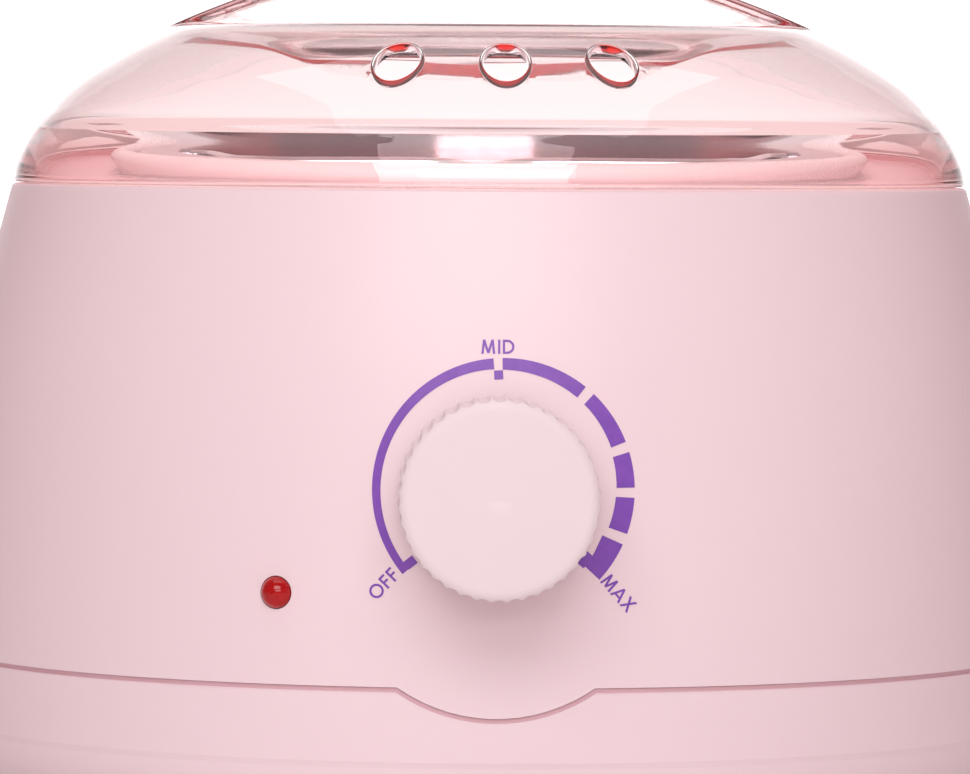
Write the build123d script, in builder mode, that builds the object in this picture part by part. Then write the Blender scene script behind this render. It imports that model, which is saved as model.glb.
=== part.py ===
from build123d import *
import math
import os

os.makedirs("parts", exist_ok=True)

# ---------------------------------------------------------------------------
# Pot wax warmer: round housing on a base tray, heated well with a lift-out
# aluminium pot, domed lid with a moulded grip ridge, one dial, one pilot lamp.
# Millimetres. +Z up, z = 0 is the table, the housing axis is the Z axis and
# the dial faces -Y.
# ---------------------------------------------------------------------------

# driving dimensions -------------------------------------------------------
FOOT_PROUD = 1.2          # rubber feet stand this far below the tray
SEAM_GAP = 0.8            # visible groove between tray and housing
Z_SEAM = 23.9             # middle of that groove
R_GROOVE = 93.7           # floor of that groove
Z_RIM = 105.5             # top edge of the housing, where the lid sits
Z_DECK = 103.5            # deck inside the rim
R_HOUSING = 94.5          # widest radius
WALL = 2.4
NOTCH_HALF = 16.3         # half width of the tongue at the front of the seam
NOTCH_DEEP = 5.0
Z_DIAL = 56.0
R_KNOB = 16.3
Y_KNOB_BACK = 95.3        # distances in front of the axis
Y_KNOB_FACE = 115.8
LAMP_ANGLE = -22.45       # degrees round from the front, towards -X
Z_LAMP = 39.4
R_LENS = 2.62
Z_CORD = 38.0
R_CORD_BORE = 3.4
POT_R_TOP = 54.4
POT_R_FLOOR = 50.0
POT_FLOOR = 52.0
POT_RIM_R = 61.8
POT_RIM_Z = 108.0
POT_WALL = 0.8
WELL_R_TOP = 56.3
WELL_R_FLOOR = 52.0
WELL_WALL = 1.5
LID_GAP = 0.3             # lid stands clear of the housing by this much
LID_WALL = 2.0
LID_RISE = 40.3           # top of the lid above the rim
VENT_R = 68.0
VENT_Z = 126.9            # height of the dome at the middle of a vent
VENT_LEAN = 33.7          # degrees from level to the dome there
VENT_STEP = 15.3          # degrees between vents
VENT_TURN = 1.2           # degrees from the front to the middle vent
POST_R = 78.0             # housing screw posts
FOOT_R = 62.0
BAIL_WIRE = 1.2
Z_BAIL = 106.7            # pivots of the bail
EAR_X = 52.7              # inner face of the ears
EAR_RIVET_Y = 2.2
EAR_RIVET_Z = 101.0

NOTCH_R = (NOTCH_HALF**2 + NOTCH_DEEP**2) / (2 * NOTCH_DEEP)
NOTCH_CZ = Z_SEAM - NOTCH_DEEP + NOTCH_R


def shifted(points, by):
    """The points of a profile moved square to it, towards the axis for a positive distance."""
    out = []
    for i, (r, z) in enumerate(points):
        r0, z0 = points[max(i - 1, 0)]
        r1, z1 = points[min(i + 1, len(points) - 1)]
        run = math.hypot(r1 - r0, z1 - z0)
        out.append((r - by * (z1 - z0) / run, z + by * (r1 - r0) / run))
    return out


# housing profile, radius against height
HOUSING = [
    (94.3, 24.3),
    (94.5, 37.0),
    (94.25, 50.1),
    (93.6, 58.9),
    (92.5, 67.7),
    (90.95, 76.5),
    (88.95, 85.3),
    (86.75, 94.1),
    (83.95, 104.6),
]
HOUSING_IN = [(r - WALL, z) for r, z in HOUSING[:-1]] + [(82.45, 101.1)]

# lid profile, radius against height above the rim
DOME = [
    (83.8, 0.3),
    (83.3, 3.0),
    (82.1, 6.0),
    (80.4, 9.0),
    (78.2, 12.0),
    (75.7, 15.1),
    (72.6, 18.1),
    (68.6, 21.0),
    (63.7, 24.0),
    (57.5, 27.2),
    (50.0, 30.5),
    (42.0, 33.55),
    (32.0, 36.65),
    (25.0, 38.2),
    (18.0, 39.3),
    (0.0, LID_RISE),
]
DOME = [(r, Z_RIM + z) for r, z in DOME]
# the wall is even above a crease on the inside, and grows thicker below it
LID_CREASE = (77.95, Z_RIM + 8.6)
DOME_IN_LOW = [
    (80.5, Z_RIM + 0.3),
    (80.2, Z_RIM + 3.0),
    (79.2, Z_RIM + 6.0),
    LID_CREASE,
]
DOME_IN = [LID_CREASE] + shifted(DOME, LID_WALL)[4:-1] + [
    (0.0, Z_RIM + LID_RISE - LID_WALL)
]


def cap_middle(r, z, top):
    """The middle of a round cap that runs from (r, z) to the axis at height top."""
    ball = (r * r + (top - z) ** 2) / (2 * (top - z))
    return (r / 2, top - ball + math.sqrt(ball**2 - r * r / 4))


# ---------------------------------------------------------------- helpers --
# solid envelope of the housing, used to trim bosses to the wall
with BuildPart() as envelope:
    with BuildSketch(Plane.XZ):
        with BuildLine():
            Spline(*HOUSING, tangents=[(0.02, 1), (-0.27, 1)])
            Polyline(HOUSING[-1], (0, HOUSING[-1][1]), (0, HOUSING[0][1]), HOUSING[0])
        make_face()
    revolve(axis=Axis.Z)

with BuildPart() as dial_boss:
    with BuildSketch(Plane.XZ.offset(87.5)):
        with Locations((0, Z_DIAL)):
            Circle(12.5)
    extrude(amount=8)
    add(envelope.part, mode=Mode.INTERSECT)

with BuildPart() as post_ribs:
    with PolarLocations(86.4, 4, start_angle=45):
        Box(13.2, 3.0, 12.5, align=(Align.CENTER, Align.CENTER, Align.MIN))
    add(envelope.part.moved(Location((0, 0, -27.5))), mode=Mode.INTERSECT)

# ----------------------------------------------------------- upper housing --
with BuildPart() as upper_housing:
    with BuildSketch(Plane.XZ):
        with BuildLine():
            Spline(*HOUSING, tangents=[(0.02, 1), (-0.27, 1)])
            Polyline(
                HOUSING[-1],
                (83.75, 105.2),
                (83.35, Z_RIM),
                (82.1, Z_RIM),
                (82.1, Z_DECK),
                (64.0, Z_DECK),
                (64.0, 101.1),
                HOUSING_IN[-1],
            )
            Spline(*reversed(HOUSING_IN), tangents=[(0.27, -1), (-0.02, -1)])
            Line(HOUSING_IN[0], HOUSING[0])
        make_face()
    revolve(axis=Axis.Z)
    # tongue that drops into the notch of the tray
    with BuildSketch(Plane.XY.offset(Z_SEAM - NOTCH_DEEP - 0.2)):
        Circle(94.3)
        Circle(91.9, mode=Mode.SUBTRACT)
    extrude(amount=NOTCH_DEEP + 1.2)
    with BuildSketch(Plane.XY.offset(10)):
        Circle(120)
    extrude(amount=14.3, mode=Mode.SUBTRACT)
    # screw posts and their ribs
    with BuildSketch(Plane.XY.offset(12.2)):
        with PolarLocations(POST_R, 4, start_angle=45):
            Circle(4.0)
    extrude(amount=27.8)
    add(post_ribs.part.moved(Location((0, 0, 27.5))))
    with BuildSketch(Plane.XY.offset(12.2)):
        with PolarLocations(POST_R, 4, start_angle=45):
            Circle(1.8)
    extrude(amount=20, mode=Mode.SUBTRACT)
    # short posts under the deck for the well brackets
    with BuildSketch(Plane.XY.offset(88)):
        with PolarLocations(73, 3, start_angle=90):
            Circle(3.5)
    extrude(amount=13.6)
    with BuildSketch(Plane.XY.offset(88)):
        with PolarLocations(73, 3, start_angle=90):
            Circle(1.3)
    extrude(amount=10, mode=Mode.SUBTRACT)
    # dial boss, spot face and bush hole
    add(dial_boss.part)
    with BuildSketch(Plane.XZ.offset(93.0)):
        with Locations((0, Z_DIAL)):
            Circle(9.5)
    extrude(amount=5, mode=Mode.SUBTRACT)
    with BuildSketch(Plane.XZ.offset(85)):
        with Locations((0, Z_DIAL)):
            Circle(5.2)
    extrude(amount=15, mode=Mode.SUBTRACT)
    # lamp hole
    a = math.radians(LAMP_ANGLE)
    with BuildSketch(
        Plane(
            origin=(86 * math.sin(a), -86 * math.cos(a), Z_LAMP),
            x_dir=(math.cos(a), math.sin(a), 0),
            z_dir=(math.sin(a), -math.cos(a), 0),
        )
    ):
        Circle(2.75)
    extrude(amount=14, mode=Mode.SUBTRACT)
    # cord entry at the back
    with BuildSketch(Plane.XZ.offset(-85)):
        with Locations((0, Z_CORD)):
            RectangleRounded(12.8, 12.8, 2.2)
    extrude(amount=-15, mode=Mode.SUBTRACT)

# the tongue itself, trimmed to a shallow arc
with BuildPart() as tongue:
    with BuildSketch(Plane.XY.offset(Z_SEAM - NOTCH_DEEP - 0.4)):
        Circle(94.3)
        Circle(91.9, mode=Mode.SUBTRACT)
    extrude(amount=NOTCH_DEEP + 1.0)
    with BuildSketch(Plane.XZ.offset(80)):
        with Locations((0, NOTCH_CZ)):
            Circle(NOTCH_R - SEAM_GAP / 2)
    extrude(amount=20, mode=Mode.INTERSECT)

upper_housing.part = upper_housing.part + tongue.part
upper_housing.part.label = "upper_housing"
export_step(upper_housing.part, "parts/upper_housing.step")

# --------------------------------------------------------------- base tray --
Z_TRAY = Z_SEAM - SEAM_GAP / 2
with BuildPart() as base_tray:
    with BuildSketch(Plane.XZ):
        with BuildLine():
            Polyline((0, FOOT_PROUD), (84.0, FOOT_PROUD))
            ThreePointArc((84.0, FOOT_PROUD), (91.35, 4.6), (93.75, 11.0))
            Polyline(
                (93.75, 11.0),
                (94.05, 12.0),
                (94.3, Z_TRAY - 0.3),
                (94.0, Z_TRAY),
                (R_GROOVE, Z_TRAY),
                (R_GROOVE, Z_SEAM + 0.3),
                (91.6, Z_SEAM + 0.3),
                (91.6, 27.0),
                (90.2, 27.0),
                (90.2, 17.5),
                (91.5, 15.5),
                (91.2, 11.2),
            )
            ThreePointArc((91.2, 11.2), (89.2, 6.1), (83.5, 3.6))
            Polyline((83.5, 3.6), (0, 3.6), (0, FOOT_PROUD))
        make_face()
    revolve(axis=Axis.Z)
    # bosses that meet the housing posts
    with BuildSketch(Plane.XY.offset(3.4)):
        with PolarLocations(POST_R, 4, start_angle=45):
            Circle(4.9)
    extrude(amount=8.6)
    # posts of the heat shield
    with BuildSketch(Plane.XY.offset(3.4)):
        with PolarLocations(58, 3, start_angle=30):
            Circle(3.5)
    extrude(amount=38.2)
    # saddle of the cord clamp
    with BuildSketch(Plane.XY.offset(3.4)):
        with Locations((0, 73)):
            Rectangle(27, 8)
    extrude(amount=34.3)
    # foot of the terminal block
    with BuildSketch(Plane.XY.offset(3.4)):
        with Locations((-12, 50), (12, 50)):
            Circle(3.0)
    extrude(amount=3.2)
    # cuts
    # notch for the tongue, and the shallow groove round it
    for notch_r, core_r in (
        (NOTCH_R + SEAM_GAP / 2, R_GROOVE),
        (NOTCH_R - SEAM_GAP / 2 + 0.1, 91.6),
    ):
        with BuildSketch(Plane.XZ.offset(80)):
            with Locations((0, NOTCH_CZ)):
                Circle(notch_r)
        notch_tool = extrude(amount=20, mode=Mode.PRIVATE)
        with BuildSketch(Plane.XY.offset(10)):
            Circle(core_r)
        core_tool = extrude(amount=80, mode=Mode.PRIVATE)
        add(notch_tool - core_tool, mode=Mode.SUBTRACT)
    with BuildSketch(Plane.XY.offset(FOOT_PROUD)):
        with PolarLocations(FOOT_R, 4, start_angle=45):
            Circle(7.1)
    extrude(amount=1.6, mode=Mode.SUBTRACT)
    with BuildSketch(Plane.XY.offset(0)):
        with PolarLocations(POST_R, 4, start_angle=45):
            Circle(3.8)
    extrude(amount=6.2, mode=Mode.SUBTRACT)
    with BuildSketch(Plane.XY.offset(0)):
        with PolarLocations(POST_R, 4, start_angle=45):
            Circle(1.9)
    extrude(amount=13, mode=Mode.SUBTRACT)
    with BuildSketch(Plane.XY.offset(30)):
        with PolarLocations(58, 3, start_angle=30):
            Circle(1.3)
    extrude(amount=12, mode=Mode.SUBTRACT)
    with BuildSketch(Plane.XY.offset(0)):
        with PolarLocations(36, 12):
            SlotOverall(14, 3)
    extrude(amount=5, mode=Mode.SUBTRACT)
    with BuildSketch(Plane.XZ.offset(-60)):
        with Locations((0, Z_CORD)):
            Circle(R_CORD_BORE)
    extrude(amount=-20, mode=Mode.SUBTRACT)
    with BuildSketch(Plane.XY.offset(28)):
        with Locations((-9.5, 73), (9.5, 73)):
            Circle(1.3)
    extrude(amount=12, mode=Mode.SUBTRACT)
base_tray.part.label = "base_tray"
export_step(base_tray.part, "parts/base_tray.step")

# -------------------------------------------------------------------- feet --
with BuildPart() as rubber_feet:
    with BuildSketch():
        with PolarLocations(FOOT_R, 4, start_angle=45):
            Circle(7.0)
    extrude(amount=FOOT_PROUD + 1.6)
    chamfer(rubber_feet.faces().filter_by(Axis.Z).group_by(Axis.Z)[0].edges(), 0.5)
rubber_feet.part.label = "rubber_feet"
export_step(rubber_feet.part, "parts/rubber_feet.step")

# ---------------------------------------------------------- housing screws --
with BuildPart() as housing_screws:
    with BuildSketch(Plane.XY.offset(6.2 - 2.2)):
        with PolarLocations(POST_R, 4, start_angle=45):
            Circle(3.4)
    extrude(amount=2.2)
    with BuildSketch(Plane.XY.offset(6.0)):
        with PolarLocations(POST_R, 4, start_angle=45):
            Circle(1.75)
    extrude(amount=22)
    with BuildSketch(Plane.XY.offset(3.9)):
        with PolarLocations(POST_R, 4, start_angle=45):
            Rectangle(4.2, 0.9)
            Rectangle(0.9, 4.2)
    extrude(amount=1.3, mode=Mode.SUBTRACT)
housing_screws.part.label = "housing_screws"
export_step(housing_screws.part, "parts/housing_screws.step")

# -------------------------------------------------------------- pot collar --
with BuildPart() as pot_collar:
    with BuildSketch(Plane.XZ):
        with BuildLine():
            Polyline(
                (62.5, 106.6),
                (62.5, 104.2),
                (59.0, 104.2),
                (59.0, 102.1),
                (62.4, 102.1),
                (62.4, 99.8),
                (63.8, 99.8),
                (63.8, Z_DECK),
                (66.3, Z_DECK),
                (66.3, 103.9),
                (64.9, 104.2),
                (64.9, 104.9),
            )
            ThreePointArc((64.9, 104.9), (66.2, 105.5), (66.7, 106.6))
            ThreePointArc((66.7, 106.6), (64.6, 108.6), (62.5, 106.6))
        make_face()
    revolve(axis=Axis.Z)
pot_collar.part.label = "pot_collar"
export_step(pot_collar.part, "parts/pot_collar.step")

# ------------------------------------------------------------ heating well --
with BuildPart() as heating_well:
    with BuildSketch(Plane.XZ) as well_sketch:
        with BuildLine():
            Polyline(
                (0, 49.2),
                (47.5, 49.2),
                (53.35, 54.5),
                (57.67, 104.2),
                (62.2, 104.2),
                (62.2, 105.5),
                (WELL_R_TOP, 105.5),
                (51.95, 55.3),
                (47.0, 50.7),
                (0, 50.7),
                (0, 49.2),
            )
        make_face()
    revolve(axis=Axis.Z)
    # threaded boss of the fuse clip
    with BuildSketch(Plane.XY.offset(46.4)):
        with Locations((0, 24)):
            Circle(3.0)
    extrude(amount=3.0)
    with BuildSketch(Plane.XY.offset(46.4)):
        with Locations((0, 24)):
            Circle(1.3)
    extrude(amount=3.4, mode=Mode.SUBTRACT)
heating_well.part.label = "heating_well"
export_step(heating_well.part, "parts/heating_well.step")


def well_r(z):
    """Outer radius of the well's wall at a height."""
    return 53.35 + (z - 54.5) * (57.8 - 53.35) / (105.7 - 54.5)


def around_well(z0, z1, gap, thick):
    """A section that follows the well's sloping wall."""
    return [
        (well_r(z0) + gap, z0),
        (well_r(z0) + gap + thick, z0),
        (well_r(z1) + gap + thick, z1),
        (well_r(z1) + gap, z1),
        (well_r(z0) + gap, z0),
    ]


# ------------------------------------------------------------- heater band --
with BuildPart() as heater_band:
    with BuildSketch(Plane.XZ):
        with BuildLine():
            Polyline(*around_well(57, 82, 0.15, 2.2))
        make_face()
    revolve(axis=Axis.Z)
    with Locations((60, 0, 70)):
        Box(20, 6, 30, mode=Mode.SUBTRACT)
heater_band.part.label = "heater_band"
export_step(heater_band.part, "parts/heater_band.step")

with BuildPart() as band_clamp:
    with BuildSketch(Plane.XZ):
        with BuildLine():
            Polyline(*around_well(64, 75, 2.45, 0.7))
        make_face()
    revolve(axis=Axis.Z)
    with Locations((60, 0, 70)):
        Box(20, 9, 30, mode=Mode.SUBTRACT)
    with Locations((61.3, 4.9, 69.5), (61.3, -4.9, 69.5)):
        Box(8, 0.8, 11)
    with BuildSketch(Plane.XZ.offset(-10)):
        with Locations((62.2, 69.5)):
            Circle(1.7)
    extrude(amount=20, mode=Mode.SUBTRACT)
band_clamp.part.label = "band_clamp"
export_step(band_clamp.part, "parts/band_clamp.step")

with BuildPart() as clamp_screw:
    with BuildSketch(Plane.XZ.offset(-8.0)):
        with Locations((62.2, 69.5)):
            Circle(1.5)
    extrude(amount=15.6)
    with BuildSketch(Plane.XZ.offset(-7.6)):
        with Locations((62.2, 69.5)):
            Circle(2.8)
    extrude(amount=2.2)
    with BuildSketch(Plane.XZ.offset(5.35)):
        with Locations((62.2, 69.5)):
            RegularPolygon(3.1, 6)
    extrude(amount=2.2)
clamp_screw.part.label = "clamp_screw"
export_step(clamp_screw.part, "parts/clamp_screw.step")

# -------------------------------------------------------------- insulation --
with BuildPart() as insulation_wrap:
    with BuildSketch(Plane.XZ):
        with BuildLine():
            Polyline(*around_well(55, 84, 3.5, 3.0))
        make_face()
    revolve(axis=Axis.Z)
    with Locations((60, 0, 70)):
        Box(24, 20, 40, mode=Mode.SUBTRACT)
insulation_wrap.part.label = "insulation_wrap"
export_step(insulation_wrap.part, "parts/insulation_wrap.step")

# ------------------------------------------------------------ well brackets --
with BuildPart() as well_brackets:
    for k in range(3):
        spin = 90 + 120 * k
        with BuildSketch(
            Plane.XZ.rotated((0, 0, spin)).offset(-6)
        ):
            with BuildLine():
                Polyline(
                    (56.4 + 0.15, 90.0),
                    (57.6 + 0.15, 90.0),
                    (57.6 + 0.15, 86.8),
                    (76.8, 86.8),
                    (76.8, 88.0),
                    (58.8, 88.0),
                    (58.2, 97.0),
                    (57.15, 97.0),
                    (56.55, 90.0),
                )
            make_face()
        extrude(amount=12)
    with BuildSketch(Plane.XY.offset(86)):
        with PolarLocations(73, 3, start_angle=90):
            Circle(1.6)
    extrude(amount=3, mode=Mode.SUBTRACT)
    # rear of each bracket follows the round wall
    with BuildSketch(Plane.XZ) as wall_cut:
        with BuildLine():
            Polyline(
                (0, 80),
                (well_r(80) + 0.02, 80),
                (well_r(100) + 0.02, 100),
                (0, 100),
                (0, 80),
            )
        make_face()
    revolve(axis=Axis.Z, mode=Mode.SUBTRACT)
well_brackets.part.label = "well_brackets"
export_step(well_brackets.part, "parts/well_brackets.step")

with BuildPart() as well_screws:
    with BuildSketch(Plane.XY.offset(84.9)):
        with PolarLocations(73, 3, start_angle=90):
            Circle(2.8)
    extrude(amount=1.9)
    with BuildSketch(Plane.XY.offset(86.6)):
        with PolarLocations(73, 3, start_angle=90):
            Circle(1.25)
    extrude(amount=10)
well_screws.part.label = "well_screws"
export_step(well_screws.part, "parts/well_screws.step")

# ------------------------------------------------------------- heat shield --
with BuildPart() as heat_shield:
    with BuildSketch(Plane.XZ):
        with BuildLine():
            Polyline(
                (0, 41.6),
                (64.0, 41.6),
                (64.0, 46.0),
                (63.2, 46.0),
                (63.2, 42.4),
                (0, 42.4),
                (0, 41.6),
            )
        make_face()
    revolve(axis=Axis.Z)
    with BuildSketch(Plane.XY.offset(41)):
        with PolarLocations(58, 3, start_angle=30):
            Circle(1.6)
    extrude(amount=3, mode=Mode.SUBTRACT)
heat_shield.part.label = "heat_shield"
export_step(heat_shield.part, "parts/heat_shield.step")

with BuildPart() as shield_screws:
    with BuildSketch(Plane.XY.offset(42.4)):
        with PolarLocations(58, 3, start_angle=30):
            Circle(2.8)
    extrude(amount=1.9)
    with BuildSketch(Plane.XY.offset(33)):
        with PolarLocations(58, 3, start_angle=30):
            Circle(1.25)
    extrude(amount=9.6)
shield_screws.part.label = "shield_screws"
export_step(shield_screws.part, "parts/shield_screws.step")

# ------------------------------------------------------------ thermal fuse --
with BuildPart() as thermal_fuse:
    with BuildSketch(Plane.YZ.offset(-5.5)):
        with Locations((18, 47.0)):
            Circle(2.0)
    extrude(amount=11)
    with BuildSketch(Plane.YZ.offset(-12)):
        with Locations((18, 47.0)):
            Circle(0.5)
    extrude(amount=24)
thermal_fuse.part.label = "thermal_fuse"
export_step(thermal_fuse.part, "parts/thermal_fuse.step")

with BuildPart() as fuse_clip:
    with BuildSketch(Plane.YZ.offset(-3.5)):
        with BuildLine():
            Polyline(
                (15.0, 49.1),
                (15.0, 44.0),
                (27.5, 44.0),
                (27.5, 46.3),
                (20.9, 46.3),
                (20.9, 44.8),
                (15.8, 44.8),
                (15.8, 49.1),
                (15.0, 49.1),
            )
        make_face()
    extrude(amount=7)
    with BuildSketch(Plane.XY.offset(43)):
        with Locations((0, 24)):
            Circle(1.5)
    extrude(amount=5, mode=Mode.SUBTRACT)
fuse_clip.part.label = "fuse_clip"
export_step(fuse_clip.part, "parts/fuse_clip.step")

with BuildPart() as fuse_screw:
    with BuildSketch(Plane.XY.offset(42.6)):
        with Locations((0, 24)):
            Circle(2.6)
    extrude(amount=1.4)
    with BuildSketch(Plane.XY.offset(43.8)):
        with Locations((0, 24)):
            Circle(1.2)
    extrude(amount=5.2)
fuse_screw.part.label = "fuse_screw"
export_step(fuse_screw.part, "parts/fuse_screw.step")

# -------------------------------------------------------------- thermostat --
with BuildPart() as thermostat_bracket:
    with BuildSketch(Plane.XZ.offset(86.3)):
        with Locations((0, Z_DIAL)):
            RectangleRounded(26, 22, 3)
            Circle(5.05, mode=Mode.SUBTRACT)
    extrude(amount=1.2)
thermostat_bracket.part.label = "thermostat_bracket"
export_step(thermostat_bracket.part, "parts/thermostat_bracket.step")

with BuildPart() as thermostat_body:
    with BuildSketch(Plane.XZ.offset(76.0)):
        with Locations((0, Z_DIAL)):
            RectangleRounded(20, 17, 2)
    extrude(amount=10.3)
    with BuildSketch(Plane.XZ.offset(72.0)):
        with Locations((0, Z_DIAL)):
            Circle(6.5)
    extrude(amount=4.0)
    with BuildSketch(Plane.XZ.offset(73.4)):
        with Locations((0, Z_DIAL)):
            Circle(3.3)
    extrude(amount=13, mode=Mode.SUBTRACT)
thermostat_body.part.label = "thermostat_body"
export_step(thermostat_body.part, "parts/thermostat_body.step")

with BuildPart() as thermostat_terminals:
    with Locations((11.0, -80, Z_DIAL), (-11.0, -80, Z_DIAL)):
        Box(2.0, 6.3, 0.8)
    with Locations((13.5, -80, Z_DIAL + 0.0), (-13.5, -80, Z_DIAL + 0.0)):
        Box(3.0, 6.3, 0.8)
thermostat_terminals.part.label = "thermostat_terminals"
export_step(thermostat_terminals.part, "parts/thermostat_terminals.step")

with BuildPart() as thermostat_bush:
    with BuildSketch(Plane.XZ.offset(86.3)):
        with Locations((0, Z_DIAL)):
            Circle(5.0)
            Circle(3.05, mode=Mode.SUBTRACT)
    extrude(amount=10.7)
thermostat_bush.part.label = "thermostat_bush"
export_step(thermostat_bush.part, "parts/thermostat_bush.step")

with BuildPart() as thermostat_nut:
    with BuildSketch(Plane.XZ.offset(93.0)):
        with Locations((0, Z_DIAL)):
            RegularPolygon(7.5, 6)
            Circle(5.02, mode=Mode.SUBTRACT)
    extrude(amount=2.8)
thermostat_nut.part.label = "thermostat_nut"
export_step(thermostat_nut.part, "parts/thermostat_nut.step")

SHAFT_FLAT = 1.8          # the flat stands this far from the shaft's axis
with BuildPart() as thermostat_shaft:
    with BuildSketch(Plane.XZ.offset(73.9)):
        with Locations((0, Z_DIAL)):
            Circle(3.0)
    extrude(amount=36.1)
    with BuildSketch(Plane.XZ.offset(98.5)):
        with Locations((0, Z_DIAL + SHAFT_FLAT + 2)):
            Rectangle(8, 4)
    extrude(amount=12, mode=Mode.SUBTRACT)
thermostat_shaft.part.label = "thermostat_shaft"
export_step(thermostat_shaft.part, "parts/thermostat_shaft.step")

# -------------------------------------------------------------------- knob --
CROWN_R = ((R_KNOB - 1.9) ** 2 + 0.25) / (2 * 0.5)   # sphere of the crowned face
with BuildPart() as control_knob:
    # fluted rim
    with BuildSketch(Plane.XZ.offset(Y_KNOB_BACK)):
        with Locations((0, Z_DIAL)):
            Circle(R_KNOB)
            with PolarLocations(R_KNOB + 1.15, 40):
                Circle(1.58, mode=Mode.SUBTRACT)
    extrude(amount=Y_KNOB_FACE - Y_KNOB_BACK)
    # rounded front edge and slightly crowned face
    with BuildSketch(Plane.XY.offset(Z_DIAL)):
        with BuildLine():
            Polyline(
                (0, -Y_KNOB_BACK),
                (R_KNOB + 0.5, -Y_KNOB_BACK),
                (R_KNOB + 0.1, -Y_KNOB_FACE + 2.6),
            )
            ThreePointArc(
                (R_KNOB + 0.1, -Y_KNOB_FACE + 2.6),
                (R_KNOB - 0.42, -Y_KNOB_FACE + 1.15),
                (R_KNOB - 1.9, -Y_KNOB_FACE + 0.5),
            )
            ThreePointArc(
                (R_KNOB - 1.9, -Y_KNOB_FACE + 0.5),
                (7.0, -Y_KNOB_FACE + CROWN_R - math.sqrt(CROWN_R**2 - 49.0)),
                (0, -Y_KNOB_FACE),
            )
            Line((0, -Y_KNOB_FACE), (0, -Y_KNOB_BACK))
        make_face()
    revolve(axis=Axis((0, 0, Z_DIAL), (0, -1, 0)), mode=Mode.INTERSECT)
    # hollow back around the hub
    with BuildSketch(Plane.XZ.offset(Y_KNOB_BACK)):
        with Locations((0, Z_DIAL)):
            Circle(13.9)
    extrude(amount=18.0, mode=Mode.SUBTRACT)
    with BuildSketch(Plane.XZ.offset(98.2)):
        with Locations((0, Z_DIAL)):
            Circle(5.2)
            Circle(3.03, mode=Mode.SUBTRACT)
    extrude(amount=15.4)
    with BuildSketch(Plane.XZ.offset(110.2)):
        with Locations((0, Z_DIAL)):
            Circle(5.2)
    extrude(amount=3.4)
    with BuildSketch(Plane.XZ.offset(99.0)):
        with Locations((0, Z_DIAL + SHAFT_FLAT + 1.0)):
            Rectangle(5.0, 1.9)
    extrude(amount=12)
    with BuildSketch(Plane.XZ.offset(103.0)):
        with Locations((0, Z_DIAL)):
            with PolarLocations(9.5, 4, start_angle=45):
                Rectangle(9.2, 1.4)
    extrude(amount=10.6)
control_knob.part.label = "control_knob"
export_step(control_knob.part, "parts/control_knob.step")

with BuildPart() as knob_clip:
    with BuildSketch(Plane.XZ.offset(99.2)):
        with Locations((0, Z_DIAL)):
            Circle(5.9)
            Circle(5.25, mode=Mode.SUBTRACT)
        with Locations((0, Z_DIAL - 5.5)):
            Rectangle(2.4, 3, mode=Mode.SUBTRACT)
    extrude(amount=3.0)
knob_clip.part.label = "knob_clip"
export_step(knob_clip.part, "parts/knob_clip.step")

# -------------------------------------------------------------- pilot lamp --
def lamp_plane(out):
    """The plane square to the lamp's axis, this far from the housing axis."""
    s, c = math.sin(math.radians(LAMP_ANGLE)), math.cos(math.radians(LAMP_ANGLE))
    return Plane(origin=(out * s, -out * c, Z_LAMP), x_dir=(c, s, 0), z_dir=(s, -c, 0))


LENS_RISE = 1.95
LENS_BALL = (R_LENS**2 + LENS_RISE**2) / (2 * LENS_RISE)
LENS_MID = LENS_BALL - LENS_RISE - math.sqrt(LENS_BALL**2 - 1.95**2)

with BuildPart() as indicator_lens:
    with BuildSketch(lamp_plane(89.4)):
        Circle(R_LENS)
    extrude(amount=5.2)
    with BuildSketch(lamp_plane(88.6)):
        Circle(3.9)
    extrude(amount=1.2)
    # domed front
    with BuildSketch(
        Plane(
            origin=lamp_plane(94.5).origin,
            x_dir=lamp_plane(94.5).x_dir,
            z_dir=(0, 0, 1),
        )
    ):
        with BuildLine():
            Line((0, 0), (R_LENS, 0))
            ThreePointArc((R_LENS, 0), (1.95, LENS_MID), (0, -LENS_RISE))
            Line((0, -LENS_RISE), (0, 0))
        make_face()
    revolve(axis=Axis(lamp_plane(94.5).origin, lamp_plane(94.5).z_dir))
    with BuildSketch(lamp_plane(88.0)):
        Circle(1.9)
    extrude(amount=5.6, mode=Mode.SUBTRACT)
indicator_lens.part.label = "indicator_lens"
export_step(indicator_lens.part, "parts/indicator_lens.step")

with BuildPart() as indicator_holder:
    with BuildSketch(lamp_plane(80.6)):
        Circle(5.0)
        Circle(2.7, mode=Mode.SUBTRACT)
    extrude(amount=7.9)
indicator_holder.part.label = "indicator_holder"
export_step(indicator_holder.part, "parts/indicator_holder.step")

with BuildPart() as indicator_lamp:
    with BuildSketch(lamp_plane(81.0)):
        Circle(1.6)
    extrude(amount=11.0)
indicator_lamp.part.label = "indicator_lamp"
export_step(indicator_lamp.part, "parts/indicator_lamp.step")

with BuildPart() as indicator_board:
    with BuildSketch(lamp_plane(79.3)):
        Rectangle(18, 14)
    extrude(amount=1.3)
    with BuildSketch(lamp_plane(77.2)):
        with Locations((0, 3.6)):
            Rectangle(9, 2.4)
    extrude(amount=2.2)
indicator_board.part.label = "indicator_board"
export_step(indicator_board.part, "parts/indicator_board.step")

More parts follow.
